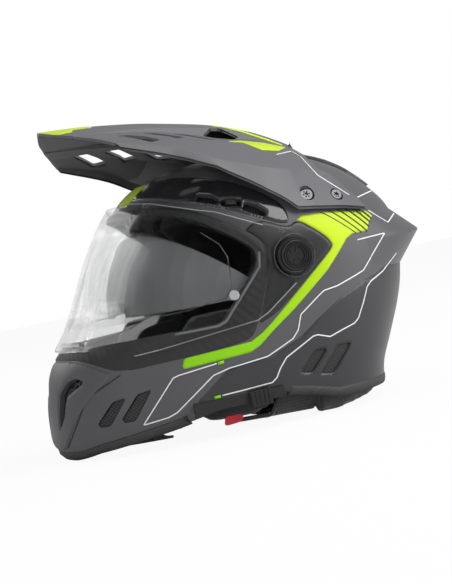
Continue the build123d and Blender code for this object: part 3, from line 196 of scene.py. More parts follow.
knit = {"Sheen Weight": 0.4, "Roughness": 0.85}
finishes = {
    # Lacquer sprayed over moulded polycarbonate: even colour, satin sheen, faint orange peel.
    "lacquerGrey": ({"Specular IOR Level": 0.4}, grainy("#535356", 1.6, 0.03, 0.4)),
    "lacquerCharcoal": ({}, grainy("#303033", 1.6, 0.03, 0.36)),
    # The lime lacquer pales to yellow towards the top: painted light on its lit upper part.
    "lacquerLime": ({"Specular IOR Level": 0.3, "Roughness": 0.38}, limeLitFromAbove),
    "lacquerWhite": ({}, grainy("#E9E9E9", 1.6, 0.02, 0.4, 0.02)),
    # Moulded plastic straight from the tool: fine spark texture or gloss.
    "mouldedPeak": ({}, grainy("#5A5A5E", 1.2, 0.03, 0.42)),
    # The peak's underside in a darker grey: painted shade.
    "peakUnderShade": ({}, grainy("#2A2A2C", 1.2, 0.04, 0.5)),
    "glossBlack": ({"Coat Weight": 0.5, "Coat Roughness": 0.08}, grainy("#29292C", 2.0, 0.01, 0.16)),
    "mattBlack": ({}, grainy("#1B1B1D", 0.8, 0.06, 0.55)),
    "mouldedMesh": ({}, grainy("#48484B", 0.8, 0.04, 0.5)),
    "satinBase": ({}, grainy("#212123", 1.4, 0.03, 0.3)),
    "capNylon": ({}, grainy("#151516", 0.8, 0.02, 0.25)),
    "pinAcetal": ({}, grainy("#A9AAAC", 0.8, 0.01, 0.3, 0.02)),
    # Moulded rubber: dull, and a pale grey strip along the seal's lip as a painted highlight.
    "sealRubber": ({}, ribbed("#232325", 2.6, 0.5, 0.6)),
    "trimRubber": ({}, grainy("#363637", 0.7, 0.05, 0.62)),
    "gasketLipHighlight": ({}, grainy("#8C8D8F", 1.0, 0.02, 0.3)),
    # Turned steel, left satin.
    "turnedSteel": ({"Metallic": 1.0}, grainy("#6C6D70", 0.5, 0.03, 0.42)),
    # Expanded polystyrene: beads about 3 mm wide, dead matt.
    "beadFoam": ({}, grainy("#101011", 3.0, 0.12, 0.85, 0.1, 4.0)),
    # Cloth: brushed lining, open air mesh and woven nylon, with threads as coarse as they need to show.
    "brushedKnit": (knit, woven("#19191B", 1.4)),
    "airMesh": (knit, woven("#2A2A2D", 3.0)),
    "nylonWebbing": ({**knit, "Roughness": 0.6}, woven("#1A1A1C", 1.1)),
    "redWebbing": ({**knit, "Roughness": 0.5}, woven("#C80F2C", 1.0)),
    # Dark expanded metal over an opening: dark grey wires, and black between them as painted shade in the openings.
    "wireMesh": ({"Roughness": 0.5}, meshed("#38383A", "#050505", 2.2)),
    # Polycarbonate: clear and polished, smoked, a pale line along the visor's edges as a painted highlight, and the
    # line of a bonded edge.
    "clearCarbonate": clear("#EDEEEE", 1.15, 0.0, 1.0, 0.3, 0.0),
    "clearInsert": clear("#E6E7E7", 1.1, 0.0, 1.0, 0.2, 0.0),
    "smokeCarbonate": clear("#AEB0B2", 1.45, 0.3, 0.0, 0.86, 0.0),
    "edgeHighlight": clear("#B4B6B8", 1.4, 0.2, 0.0, 0.55),
    "bondedEdge": clear("#4A4C4E", 1.4, 0.3, 0.0, 0.6),
}
looks = {name: newLook(name, *finish) for name, finish in finishes.items()}
print("looks made:", len(looks))


def rounded(points, rounds=2, cut=0.22):  # corner cutting: each corner gives way to two points on its sides
    points = np.array(points, float)
    for _ in range(rounds):
        after = np.roll(points, -1, axis=0)
        pairs = [(1 - cut) * points + cut * after, cut * points + (1 - cut) * after]
        points = np.stack(pairs, 1).reshape(-1, 2)
    return points


def cubic(before, here, after, beyond, t):  # a cubic from here to after that heads past its neighbours, t from 0 to 1
    return 0.5 * (
        2 * here
        + (after - before) * t
        + (2 * before - 5 * here + 4 * after - beyond) * t**2
        + (3 * here - before - 3 * after + beyond) * t**3
    )


def smoothRows(rows, place):  # a smooth curve through table rows, by row number
    rows = np.asarray(rows, float)
    place = np.clip(place, 0, len(rows) - 1.0001)
    low = place.astype(int)
    beyond = rows[np.minimum(low + 2, len(rows) - 1)]
    return cubic(rows[np.maximum(low - 1, 0)], rows[low], rows[low + 1], beyond, (place - low)[:, None])


# Level sections of the shell: height, reach to the front, reach to the rear, half width
shell = {
    "levels": [
        (-8.0, 191.0, 105.0, 111.3), (12.0, 202.1, 105.0, 116.0), (30.0, 203.0, 108.0, 119.5),
        (52.0, 200.1, 119.0, 122.9), (80.0, 191.0, 133.0, 126.0), (105.0, 169.0, 141.5, 128.0),
        (140.0, 147.1, 146.5, 129.0), (168.0, 132.0, 141.0, 125.5), (192.0, 118.0, 122.0, 116.0),
        (210.0, 104.0, 100.5, 102.0), (224.0, 86.0, 74.0, 82.5), (233.0, 65.0, 46.0, 57.0),
        (238.0, 35.0, 17.0, 26.0), (239.4, 14.0, 7.0, 10.0), (239.7, 0.1, 0.1, 0.1),
    ],
    "frontBend": 2.25,
    "rearBend": 2.3,
    "wall": 4.5,
    "length": 349.5,
    "half": 129.0,
    "crown": 97.0,
}
topLevel = len(shell["levels"]) - 1.001
turns = {0: (-0.75, 0.25), 1: (-0.25, 0.25), -1: (-0.75, -0.25)}  # range of u for both sides, the left, the right


def superOval(turn, front, rear, half, rearBend=shell["rearBend"]):
    # Two superellipse halves: x = half * c, y = pivot + reach * s, on |c|^n + |s|^n = 1, n by front or rear.
    across, along = np.cos(turn), np.sin(turn)
    bend = np.where(along > 0, rearBend, shell["frontBend"])
    reach = np.where(along > 0, rear, front)
    scale = (np.abs(across) ** bend + np.abs(along) ** bend) ** (-1 / bend)
    return half * scale * across, pivot[0] + reach * scale * along


def shellSurface(place, lift=0.0):
    # u: share of a turn from the wearer's left, v: level number; lift grows the form as the solids do.
    height, front, rear, half = smoothRows(shell["levels"], place[:, 1]).T
    long = 1 + 2 * lift / shell["length"]
    wide = 1 + lift / shell["half"]
    x, y = superOval(2 * np.pi * place[:, 0], front * long, rear * long, half * wide)
    z = np.where(height > pivot[1], pivot[1] + (height - pivot[1]) * (1 + lift / shell["crown"]), height)
    return np.stack([x, y, z], 1)


denseLevels = smoothRows(shell["levels"], np.linspace(0, topLevel, 700))


def levelAt(height, columns=(1, 2, 3)):  # the shell's reaches and half width at any height
    return (np.interp(height, denseLevels[:, 0], denseLevels[:, k]) for k in columns)


def shellGap(points, outset=0.0):
    # Distance to the shell's form, positive outside: value of the superellipse over its slope; and the slope.
    def value(p):
        height = p[:, 2] - pivot[1]
        height = np.where(height > 0, pivot[1] + height / (1 + outset / shell["crown"]), p[:, 2])
        front, rear, half = levelAt(height)
        behind = p[:, 1] > pivot[0]
        bend = np.where(behind, shell["rearBend"], shell["frontBend"])
        reach = np.where(behind, rear, front) * (1 + 2 * outset / shell["length"])
        wide = half * (1 + outset / shell["half"])
        return (np.abs(p[:, 0]) / wide) ** bend + (np.abs(p[:, 1] - pivot[0]) / reach) ** bend - 1

    here = value(points)
    step = 0.5
    slopes = [(value(points + step * np.eye(3)[k]) - here) / step for k in range(3)]
    return here / np.maximum(np.sqrt(sum(slope**2 for slope in slopes)), 1e-4), np.stack(slopes, 1)


def edgeDistance(points, outline):
    # Distance to a closed outline, negative inside: length to the nearest side, sign by counting crossings.
    best = np.full(len(points), 1e9)
    inside = np.zeros(len(points), bool)
    for start, end in zip(outline, np.roll(outline, -1, axis=0)):
        step = end - start
        share = np.clip(((points - start) @ step) / max(step @ step, 1e-9), 0, 1)
        gap = points - start - share[:, None] * step
        best = np.minimum(best, (gap**2).sum(1))
        crossing = (start[1] > points[:, 1]) != (end[1] > points[:, 1])
        rise = step[1] if abs(step[1]) > 1e-9 else 1e-9
        inside ^= crossing & (points[:, 0] < start[0] + step[0] * (points[:, 1] - start[1]) / rise)
    return np.where(inside, -1.0, 1.0) * np.sqrt(best)


def regionGap(points, regions):  # how far outside the kept region a point lies; negative is kept
    worst = np.full(len(points), -1e9)
    for region in regions:
        if callable(region):
            gap = region(points)
        else:
            view, outline, keep = region[:3]
            gap = edgeDistance(points[:, views[view]], outline)
            gap = gap if keep else -gap
            if len(region) > 3:  # only where |x| is within a range
                aside = np.abs(points[:, 0])
                gap = np.where((aside < region[3][0]) | (aside > region[3][1]), -1e9, gap)
        worst = np.maximum(worst, gap)
    return worst


def without(view, *outlines):  # regions that cut outlines away
    return [(view, outline, False) for outline in outlines]


def gridPlaces(spans, counts):  # even places over two spans of parameters, row by row
    grid = [np.linspace(*span, count) for span, count in zip(spans, counts)]
    return np.stack(np.meshgrid(*grid, indexing="ij"), -1).reshape(-1, 2)


def gridQuads(rows, columns):  # quads between the points of such a grid
    number = np.arange(rows * columns).reshape(rows, columns)
    return np.stack([number[:-1, :-1], number[1:, :-1], number[1:, 1:], number[:-1, 1:]], -1).reshape(-1, 4)


def trimmedSheet(surface, uRange, vRange, cell, regions):
    # A surface of two parameters kept within regions: a grid about cell millimetres fine over the kept part's
    # window, whose rim points slide along the surface until they lie on the region's edge.
    spans = [list(uRange), list(vRange)]
    for _ in range(2):
        place = gridPlaces(spans, (90, 90))
        kept = place[regionGap(surface(place), regions) < cell]
        for span, values in zip(spans, kept.T):
            margin = (span[1] - span[0]) / 60
            span[:] = max(values.min() - margin, span[0]), min(values.max() + margin, span[1])
    sample = surface(gridPlaces(spans, (25, 25))).reshape(25, 25, 3)
    runs = [np.linalg.norm(np.diff(sample, axis=axis), axis=-1).sum(axis=axis).max() for axis in (0, 1)]
    counts = [int(np.clip(run / cell, 4, 420)) for run in runs]
    place = gridPlaces(spans, counts)
    gap = regionGap(surface(place), regions)
    quads = gridQuads(*counts)
    inside = (gap[quads] < 0).sum(1) >= 3
    rim = np.intersect1d(np.unique(quads[inside]), np.unique(quads[~inside]))
    size = np.array([(span[1] - span[0]) / (count - 1) for span, count in zip(spans, counts)])
    moved = place[rim].copy()
    share = 0.04
    nudges = size * np.eye(2) * share
    for _ in range(6):
        here = regionGap(surface(moved), regions)
        slopes = [(regionGap(surface(moved + nudge), regions) - here) / share for nudge in nudges]
        slopes = np.stack(slopes, 1)
        step = -here[:, None] * slopes / np.maximum((slopes**2).sum(1), 1e-5)[:, None]
        moved += np.clip(step, -0.6, 0.6) * size
    moved = np.clip(moved, place[rim] - 1.5 * size, place[rim] + 1.5 * size)
    place[rim] = np.clip(moved, *np.transpose(spans))
    used, flat = np.unique(quads[inside], return_inverse=True)
    return place[used], flat.reshape(-1, 4)


def makePiece(
    name, points, faces, look, slot="shell_paint", replaces=(), body="helmet", wall=0.0, edge=0.0, sharp=35.0,
    close=False,
):
    # A mesh piece at the origin, with its wall and rounded edges as modifiers.
    mesh = bpy.data.meshes.new(name)
    mesh.from_pydata((np.asarray(points) * metre).tolist(), [], faces.tolist())
    shape = bmesh.new()
    shape.from_mesh(mesh)
    bmesh.ops.remove_doubles(shape, verts=shape.verts, dist=0.02 * metre)
    bmesh.ops.dissolve_degenerate(shape, edges=shape.edges, dist=0.01 * metre)
    if close:
        bmesh.ops.recalc_face_normals(shape, faces=shape.faces)
    shape.to_mesh(mesh)
    shape.free()
    mesh.shade_smooth()
    mesh.set_sharp_from_angle(angle=math.radians(sharp))
    mesh.materials.append(looks[look])
    piece = newObject(name, mesh)
    if wall:
        solid = piece.modifiers.new("wall", "SOLIDIFY")
        solid.thickness = wall * metre
        solid.offset = -1
    if edge:
        bevel = piece.modifiers.new("edges", "BEVEL")
        bevel.width = edge * metre
        bevel.segments = 2
        bevel.angle_limit = math.radians(40)
        bevel.harden_normals = True
    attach(piece, body)
    if replaces:
        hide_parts(*replaces)
    return piece


def sheetPiece(name, surface, uRange, vRange, cell, regions, *rest, shift=(0, 0, 0), **settings):
    # A trimmed sheet made into a piece, its points moved by shift.
    place, quads = trimmedSheet(surface, uRange, vRange, cell, regions)
    points = surface(place) + shift
    makePiece(name, points, quads, *rest, **settings)
    return points, quads


def gridPiece(name, surface, counts, look, slot, replaces=(), uRange=(0, 1), vRange=(0, 1), **settings):
    # A whole surface of two parameters as a grid of quads.
    points = surface(gridPlaces((uRange, vRange), counts))
    return makePiece(name, points, gridQuads(*counts), look, slot, replaces, **settings)


def mirroredPiece(name, points, faces, look, slot="shell_paint", wall=0.3, **settings):
    # One piece of faces on the wearer's left and their mirror image on the right.
    faces = np.concatenate([faces, faces[:, ::-1] + len(points)])
    points = np.concatenate([points, points * [-1, 1, 1]])
    makePiece(name, points, faces, look, slot, wall=wall, **settings)


def shellPlate(
    name, regions, proud, look, slot="shell_paint", replaces=(), side=0, body="helmet", cell=2.0, wall=1.2,
    edge=1.2, sink=0.25, levels=(0, topLevel), ripple=None, edgeRegions=None,
):
    # A plate on the shell: over the last edge millimetres it falls from proud to sink below the shell.
    place, quads = trimmedSheet(shellSurface, turns[side], levels, cell, regions)
    flat = shellSurface(place)
    inward = np.clip(-regionGap(flat, edgeRegions or regions) / edge, 0, 1)
    lift = proud - (proud + sink) * (1 - inward) ** 2
    if ripple:
        lift = lift + ripple(flat)
    points = shellSurface(place, lift)
    makePiece(name, points, quads, look, slot, replaces, body, wall=wall)
    return points, quads


def meshPoints(mesh):  # a mesh's points as rows
    flat = np.empty(len(mesh.vertices) * 3)
    mesh.vertices.foreach_get("co", flat)
    return flat.reshape(-1, 3)


# Camera at the photograph's angle: 70 degrees round, with the helmet tipped nose down by 12 degrees in the photo
camera = {
    "azimuth": 70.0, "elevation": -2.2, "tip": 12.0, "distance": 1680.0, "target": (0, 0, 117.6),
    "pixels": 1819.0, "width": 452, "height": 584, "sensor": 36,
}
turnAngle, rise, tip = (math.radians(camera[key]) for key in ("azimuth", "elevation", "tip"))
level = np.array([[1, 0, 0], [0, math.cos(tip), math.sin(tip)], [0, -math.sin(tip), math.cos(tip)]])
back = level @ [math.sin(turnAngle) * math.cos(rise), -math.cos(turnAngle) * math.cos(rise), math.sin(rise)]
right = level @ [math.cos(turnAngle), math.sin(turnAngle), 0]
up = np.cross(back, right)
eye = np.array(camera["target"]) + back * camera["distance"]
lens = bpy.data.cameras.new("camera")
lens.lens = camera["pixels"] * camera["sensor"] / camera["height"]
lens.clip_end = 20
eyeObject = newObject("camera", lens)
axes = [[right[k], up[k], back[k], eye[k] * metre] for k in range(3)]
eyeObject.matrix_world = Matrix([*axes, [0, 0, 0, 1]])
scene.camera = eyeObject


def raysThrough(pixels):  # camera rays through photo pixels
    across, down = (np.array(pixels, float) - [camera["width"] / 2, camera["height"] / 2]).T[:, :, None]
    return -back + across / camera["pixels"] * right - down / camera["pixels"] * up


def settled(points, lift=0.0):  # points moved along the shell's slope onto its form grown by lift
    points = np.array(points, float)
    for _ in range(5):
        gap, slope = shellGap(points, lift)
        points -= np.clip(gap, -4, 4)[:, None] * slope / np.linalg.norm(slope, axis=1, keepdims=True)
    return points


def halved(near, far, inside, rounds):  # halves brackets from outside to inside until they close on the surface
    for _ in range(rounds):
        half = (near + far) / 2
        within = inside(half)
        near, far = np.where(within, near, half), np.where(within, half, far)
    return far


def photoToShell(pixels):
    # Where the rays first meet the shell's form, or come nearest to it.
    rays = raysThrough(pixels)
    steps = np.linspace(camera["distance"] - 210, camera["distance"] + 60, 260)
    gaps = np.stack([shellGap(eye + rays * step)[0] for step in steps])
    hit = gaps.min(0) < 0
    first = np.where(hit, (gaps < 0).argmax(0), gaps.argmin(0))
    before = steps[np.maximum(first - 1, 0)]
    met = halved(before, steps[first], lambda far: shellGap(eye + rays * far[:, None])[0] < 0, 12)
    return settled(eye + rays * np.where(hit, met, steps[first])[:, None])


def sideToShell(points):  # points of the side view put on the wearer's left of the shell
    points = np.array(points, float)
    outside, middle = np.full(len(points), shell["half"] + 12), np.zeros(len(points))
    x = halved(outside, middle, lambda far: shellGap(np.column_stack([far, points]))[0] < 0, 20)
    return np.column_stack([x, points])


# Outlines in side view (Y, Z), plan (X, Y) and front view (X, Z); one that starts at -240 runs out past the front
edgeLine = [
    (-240, 2.2), (-175, 2.2), (-162, 7), (-132, 12), (-101, 17), (-70, 23), (-39, 26), (-6, 26), (14, 22), (44, 14),
    (74, 13), (240, 12),
]
port = rounded([
    (-240, 95), (-58, 95), (-50, 97), (-12, 138), (-10, 150), (-16, 160), (-60, 196), (-90, 204), (-240, 205),
])
seal = rounded([
    (-240, 90), (-165, 90), (-155, 81), (-139, 71), (-94, 73), (-34, 76), (-24, 84), (-4, 134), (-2, 151),
    (-9, 164), (-56, 200.5), (-90, 208.5), (-240, 209.5),
])
base = rounded([
    (-62, 84), (-12, 89), (33, 122), (56, 139), (60, 144), (54, 153), (31, 172), (22, 166), (0, 177), (-12, 175),
    (-40, 150),
])
brow = rounded([
    (-86, 217), (-70, 212), (-48, 201), (-34, 195), (0, 177), (14, 170), (24, 168), (26, 183), (10, 200),
    (-10, 214), (-35, 226), (-60, 231), (-84, 224),
])
beak = rounded([
    (0, 89.4), (40, 86), (62, 80), (80, 70.4), (55, 50), (30, 20), (17, 9.5), (-17, 9.5), (-30, 20), (-55, 50),
    (-80, 70.4), (-62, 80), (-40, 86),
])
frontHole = [(-46, 204), (-41, 209), (-32, 206), (-28, 200), (-32, 197), (-40, 201)]
rearHole = [(-13, 189), (-8, 194), (0, 190), (7, 182), (3, 179), (-5, 183)]
mouthLine = [(54, 68), (43, 72.5), (31, 70), (19, 60), (17.5, 47), (16, 29), (26, 39), (32, 58)]
mouths = [rounded(np.array(mouthLine) * [sign, 1], 1, 0.08) for sign, word in sides]
mouthRear = -98  # the mouth vents and the beak lie in front of this Y
belowEdge = np.array([*edgeLine, (240, -60), (-240, -60)], float)
slotRows = {  # the first slot of each pair, how far the second lies from it and how much larger it is
    "chin": {"line": [(-138, 50), (-149, 48), (-162, 31), (-161, 27.5), (-153, 27.5)], "step": (20, 3), "grow": 1.1},
    "rear": {"line": [(25, 57), (38, 56), (20, 38), (9, 40)], "step": (22, 0), "grow": 1.25},
}
slots = {}
for name, row in slotRows.items():
    line = np.array(row["line"], float)
    larger = line[0] + (line - line[0]) * row["grow"] + row["step"]
    slots[name] = [rounded(line, 1, 0.1), rounded(larger, 1, 0.1)]


def ahead(limit):  # keeps what lies in front of a plane across Y
    return lambda points: points[:, 1] - limit


def mouthHole(mouth):  # cuts a mouth vent out of the shell's front
    return lambda p: np.where(p[:, 1] < mouthRear, -edgeDistance(p[:, views["front"]], mouth), -1e9)


slider = {"slope": math.radians(-11), "half": 4.5, "tall": 2.6, "middle": np.array([-19.5, 195.8]), "pitch": 1.9}


def track(endRoom, sideRoom):  # the brow slider's outline in side view with room round it
    along = np.array([math.cos(slider["slope"]), math.sin(slider["slope"])])
    up = np.array([-along[1], along[0]])
    along, up = along * (slider["half"] + endRoom), up * (slider["tall"] + sideRoom)
    return np.array([slider["middle"] + a * along + b * up for a, b in square])


def gripRipple(p):  # ridges on the slider: a half sine each pitch along its slope
    run = p[:, 1] * math.cos(slider["slope"]) + p[:, 2] * math.sin(slider["slope"])
    return 0.45 * np.abs(np.sin(run * np.pi / slider["pitch"]))


holes = [rounded(frontHole, 1, 0.1), rounded(rearHole, 1, 0.1), track(3.1, 0.6)]
widened = [hole.mean(0) + (hole - hole.mean(0)) * 1.08 for hole in holes]  # so that the shell's edge stays hidden
shellRegions = without("side", port, belowEdge, *slots["chin"], *slots["rear"], *widened)
shellRegions += [mouthHole(mouth) for mouth in mouths]
shellForm = sheetPiece(
    "outerShell", shellSurface, turns[0], (0, topLevel), 3.0, shellRegions, "lacquerGrey", "shell_paint",
    ["outer_shell"], wall=shell["wall"], edge=0.5,
)
print("shell made:", len(shellForm[1]))

for side, word in sides:
    shellPlate(
        f"visorBase_{word}", [("side", base, True), *without("side", seal)], 0.8, "satinBase", "gloss_black",
        [f"visor_base_{word}"], side, cell=1.8, edge=1.0,
    )
    browRegions = [("side", brow, True), *without("side", seal, *holes), lambda p: 17.3 - np.abs(p[:, 0])]
    shellPlate(
        f"browPanel_{word}", browRegions, 0.8, "glossBlack", "gloss_black", [f"brow_panel_{word}"], side,
        cell=1.4, edge=0.45, wall=4.6,
    )
    shellPlate(
        f"browSlider_{word}", [("side", track(0, 0), True)], 1.7, "mattBlack", "dark_plastic",
        [f"brow_slider_{word}"], side, f"brow_slider_{word}", cell=0.5, edge=0.8, wall=2.6, ripple=gripRipple,
    )
beakRegions = [("front", beak, True), ahead(mouthRear), *without("side", seal), *without("front", *mouths)]
shellPlate(
    "chinBeak", beakRegions, 0.9, "lacquerGrey", "shell_paint", ["chin_beak"], cell=1.6, edge=0.7, levels=(0, 6),
)
strip = np.array([(-92, 216), (-84, 210.5), (-60, 222), (-58, 236), (-92, 232)], float)
shellPlate(
    "browStrip", [("side", strip, True), lambda p: np.abs(p[:, 0]) - 16.4], 0.8, "lacquerLime", "lime_plastic",
    ["brow_strip"], cell=1.6, levels=(6, topLevel),
)
for name, pair in slots.items():
    for side, word in sides:
        for count, slot in enumerate(pair):
            region = [("side", slot + np.sign(slot - slot.mean(0)), True)]  # a millimetre larger than the slot
            replaced = [f"{name}_vent_mesh_{word}"] if count == 0 else ()
            shellPlate(
                f"{name}Mesh_{word}_{count}", region, -1.5, "wireMesh", "dark_plastic", replaced, side,
                cell=0.9, wall=0.8, edge=0.1, sink=1.5,
            )
print("plates made")

# Rubber seal round the port: a flat lip with a bead along the port's edge
gasket = {"lip": 1.0, "bead": 1.6, "beadWidth": 5.0, "beadPlace": 5.5, "sink": 0.2}
portSmall = rounded([
    (-240, 97), (-57, 97), (-51, 99), (-14, 138.6), (-12, 150), (-18, 159), (-61, 194.4), (-90, 202.2),
    (-240, 203.2),
])
gasketRegions = [("side", seal, True), *without("side", portSmall)]
place, quads = trimmedSheet(shellSurface, turns[0], (2, topLevel), 1.9, gasketRegions)
flat = shellSurface(place)[:, views["side"]]
fromRim = np.clip(-edgeDistance(flat, seal) / 2.0, 0, 1)
hump = np.clip(1 - ((edgeDistance(flat, port) - gasket["beadPlace"]) / gasket["beadWidth"]) ** 2, 0, 1)
lift = gasket["lip"] * fromRim**0.5 + (gasket["bead"] - gasket["lip"]) * np.sqrt(hump) - gasket["sink"]
gasketForm = shellSurface(place, lift), quads
makePiece("eyePortGasket", *gasketForm, "sealRubber", "seal_rubber", ["eye_port_gasket"], wall=7.5, edge=0.6)

# Rubber trim on the bottom edge, a rounded band that hooks round the wall; the sun visor's rail interrupts it
trimBand = np.array([*[(y, z + 6.5) for y, z in edgeLine], *[(y, z - 2.2) for y, z in reversed(edgeLine)]], float)


def railGap(p):
    return np.where((p[:, 0] > 0) & (p[:, 1] > -91) & (p[:, 1] < -6), 5.0, -1e9)


shellPlate(
    "edgeTrim", [("side", trimBand, True), railGap], 1.2, "trimRubber", "seal_rubber", ["edge_trim"],
    wall=7.0, edge=1.6, sink=0.0, levels=(0, 4),
)
print("seal and trim made")

# Clear visor: level sections of height, reach to the front and half width, straight behind the pivot
visor = {
    "levels": [
        (76, 199, 133.0), (88, 190.5, 133.2), (102, 180, 133.5), (118, 168.5, 133.5), (142, 155, 133.5),
        (165, 143, 131.0), (190, 127.5, 122.5), (207, 115, 111.0), (222, 101, 96.0),
    ],
    "line": [
        (-240, 96.5), (-158, 96.5), (-149, 89), (-139, 82.5), (-93, 86), (-58, 90), (-25, 92), (-11, 98), (28, 126),
        (19, 142), (27, 159), (0, 175), (-35, 194), (-50, 200), (-74, 212), (-92, 214), (-240, 214),
    ],
    "half": 133.5,
    "thickness": 2.3,
    "armLength": 120,
    "armRadius": 17.0,
    "pinRadius": 6.1,
    "insertInset": 2.9,
}
visorRows = (0, 7.999)


def visorSurface(place, outset=0.0):
    # u from -1 to 1 swings a superellipse from the right arm round the front to the left, and beyond that it
    # runs straight back; v: level number.
    height, front, half = smoothRows(visor["levels"], place[:, 1]).T
    turn = np.clip(place[:, 0], -1, 1) * np.pi / 2 - np.pi / 2
    x, y = superOval(turn, front + outset, front + outset, half + outset)
    beyond = np.clip(np.abs(place[:, 0]) - 1, 0, 1)
    x = np.where(beyond > 0, np.sign(place[:, 0]) * (half + outset), x)
    return np.stack([x, y + beyond * visor["armLength"], height], 1)


def visorKept(points):  # within the side outline or the disc round the pivot, outside the pin's hole
    radius = np.hypot(points[:, 1] - pivot[0], points[:, 2] - pivot[1])
    kept = np.minimum(edgeDistance(points[:, [1, 2]], rounded(visor["line"])), radius - visor["armRadius"])
    return np.maximum(kept, visor["pinRadius"] - radius)


def insertSurface(place):
    return visorSurface(place, -visor["insertInset"])


visorForm = sheetPiece(
    "visorShield", visorSurface, (-1.15, 1.15), visorRows, 2.4, [visorKept], "clearCarbonate", "clear_visor",
    ["visor"], "visor", wall=visor["thickness"], edge=0.5,
)
insertLine = rounded([(-240, 112), (-48, 112), (-38, 125), (-36, 158), (-60, 186), (-240, 193)])
insertForm = sheetPiece(
    "insertLens", insertSurface, (-1, 1), visorRows, 2.4, [("side", insertLine, True)], "clearInsert",
    "clear_insert", ["insert_lens"], "visor", wall=1.2, edge=0.3,
)
tab = {"start": 8, "length": 28, "reach": 7.5, "root": 0.6, "front": 180.5, "height": 101, "half": 1.9}


def liftTab(place):  # u across the front, v from the visor's face outwards and back: a rounded tongue
    share, around = place[:, 0], place[:, 1] * 2 * np.pi
    reach = tab["reach"] * np.sqrt(np.clip(1 - (2 * share - 1) ** 4, 0, 1))
    x = tab["start"] + tab["length"] * share
    out = reach * (0.5 + 0.5 * np.cos(around))
    bend = shell["frontBend"]
    front = pivot[0] - tab["front"] * (1 - (np.abs(x) / visor["half"]) ** bend) ** (1 / bend)
    return np.stack([x, front + tab["root"] - out, tab["height"] + tab["half"] * np.sin(around)], 1)


gridPiece("visorTab", liftTab, (25, 17), "clearCarbonate", "clear_visor", body="visor", close=True)
print("visor made")

# Peak: spine top, its edge, its foot, the wing's middle, the fold and the lower edge at stations along Y
peak = {
    "stations": [
        (-150, 0, 291.5, 55, 280, 55.5, 279.5, 75, 275.8, 95, 272, 100, 263),
        (-108, 0, 290, 51, 279, 53, 277.5, 76, 272, 99, 264.5, 100.5, 262),
        (-61, 0, 285.5, 45, 276, 47, 272.5, 75.5, 265.3, 104, 252, 107, 245),
        (-29, 0, 280.5, 40, 271.5, 43, 266, 78, 257.5, 113, 237, 118, 230),
        (10, 0, 273, 31, 266, 35, 257, 77, 246.2, 119, 221.5, 126, 201.5),
        (34, 0, 266, 26, 260.5, 30, 252, 73, 240, 116, 216, 128, 181.5),
        (50, 0, 260, 23, 255.5, 27, 248.5, 68.5, 236, 110, 212.5, 126.5, 179.5),
        (80, 0, 243.5, 18, 241, 21, 238, 61.2, 225, 101.5, 204.5, 120.5, 175),
        (106, 0, 226, 12, 224, 14, 222.5, 54, 209, 94, 191, 112, 169),
    ],
    "thickness": 2.6,
    "softness": 0.02,
    "easing": 0.95,
}
peakRows = (0, 7.999)


def peakSurface(place):
    # u counts corners of the section out from the spine, v the stations; corners are softened by averaging,
    # and u is eased so that grid lines gather at the corners. The lower edge runs straight between stations.
    rows = smoothRows(peak["stations"], place[:, 1])
    table = np.array(peak["stations"], float)
    for column in (11, 12):
        rows[:, column] = np.interp(place[:, 1], np.arange(len(table)), table[:, column])
    eased = place[:, 0] - peak["easing"] * np.sin(2 * np.pi * place[:, 0]) / (2 * np.pi)
    total = 0
    shifts = np.linspace(-peak["softness"], peak["softness"], 5)
    for shift in shifts:
        along = np.clip(np.abs(np.abs(eased) + shift), 0, 4.9999)
        low = along.astype(int)
        t = along - low
        pick = np.arange(len(rows))
        x, z = (rows[pick, k + 2 * low] * (1 - t) + rows[pick, k + 2 + 2 * low] * t for k in (1, 2))
        total = total + np.stack([x * np.sign(place[:, 0]), rows[:, 0], z], 1)
    return total / len(shifts)


peakHalf = [
    (0, -147), (30, -139.5), (60, -127.5), (86, -115), (100.5, -107), (122, -60), (140, 0), (140, 103), (109, 103),
    (98, 73), (59, 77), (19, 86),
]
peakPlan = rounded(peakHalf + [(-x, y) for x, y in reversed(peakHalf[1:])], 1, 0.12)
wingSlot = np.array([(71, -96), (66, -85), (84, -64), (90, -74)], float)
wingSlot = wingSlot.mean(0) + (wingSlot - wingSlot.mean(0)) * 1.12
wingSlots = []
for shift in ((0, 0), (-11, 28), (-20, 58)):
    wingSlots += [rounded((wingSlot + shift) * [sign, 1], 1, 0.05) for sign, word in sides]
window = rounded([(-7, 261), (4, 267), (13, 266), (31, 254.5), (22, 252.5), (0, 257)], 1, 0.1)
peakRegions = [("plan", peakPlan, True), *without("plan", *wingSlots), ("side", window, False, (16, 64))]
peakRegions.append(lambda p: -shellGap(p, 0.3)[0])
screws = {"places": [(47.0, 189.0, 6.2), (77.0, 184.0, 5.2)], "lean": 27.0, "turn": 25.0, "room": 1.2}


def screwAxis(y, z):  # where a screw enters the shell on the wearer's left, and which way it points
    start = sideToShell([(y, z)])[0]
    lean, turn = math.radians(screws["lean"]), math.radians(screws["turn"] * (y - pivot[0]) / 165.5)
    return start, np.array([math.cos(lean) * math.cos(turn), math.cos(lean) * math.sin(turn), math.sin(lean)])


def screwHole(start, axis, radius):  # cuts a round hole about a screw's axis, on both sides
    def gap(p):
        aside = np.column_stack([np.abs(p[:, 0]), p[:, 1:]]) - start
        return radius - np.linalg.norm(np.cross(aside, axis), axis=1)

    return gap


screwAxes = [(*screwAxis(y, z), radius) for y, z, radius in screws["places"]]
peakRegions += [screwHole(start, axis, radius + screws["room"]) for start, axis, radius in screwAxes]
peakPoints, peakQuads = sheetPiece(
    "peakVisor", peakSurface, (-5, 5), peakRows, 2.0, peakRegions, "mouldedPeak", "peak_paint", ["peak"],
    wall=peak["thickness"], edge=0.7, sharp=25,
)
print("peak made")

# Spoiler: a ridge across the rear between a lower and an upper foot; it fades into the shell at the sides
spoiler = {"heights": (112.0, 141.0, 166.0), "reach": 165.8, "half": 120.0, "bend": 2.8, "sink": 0.8}


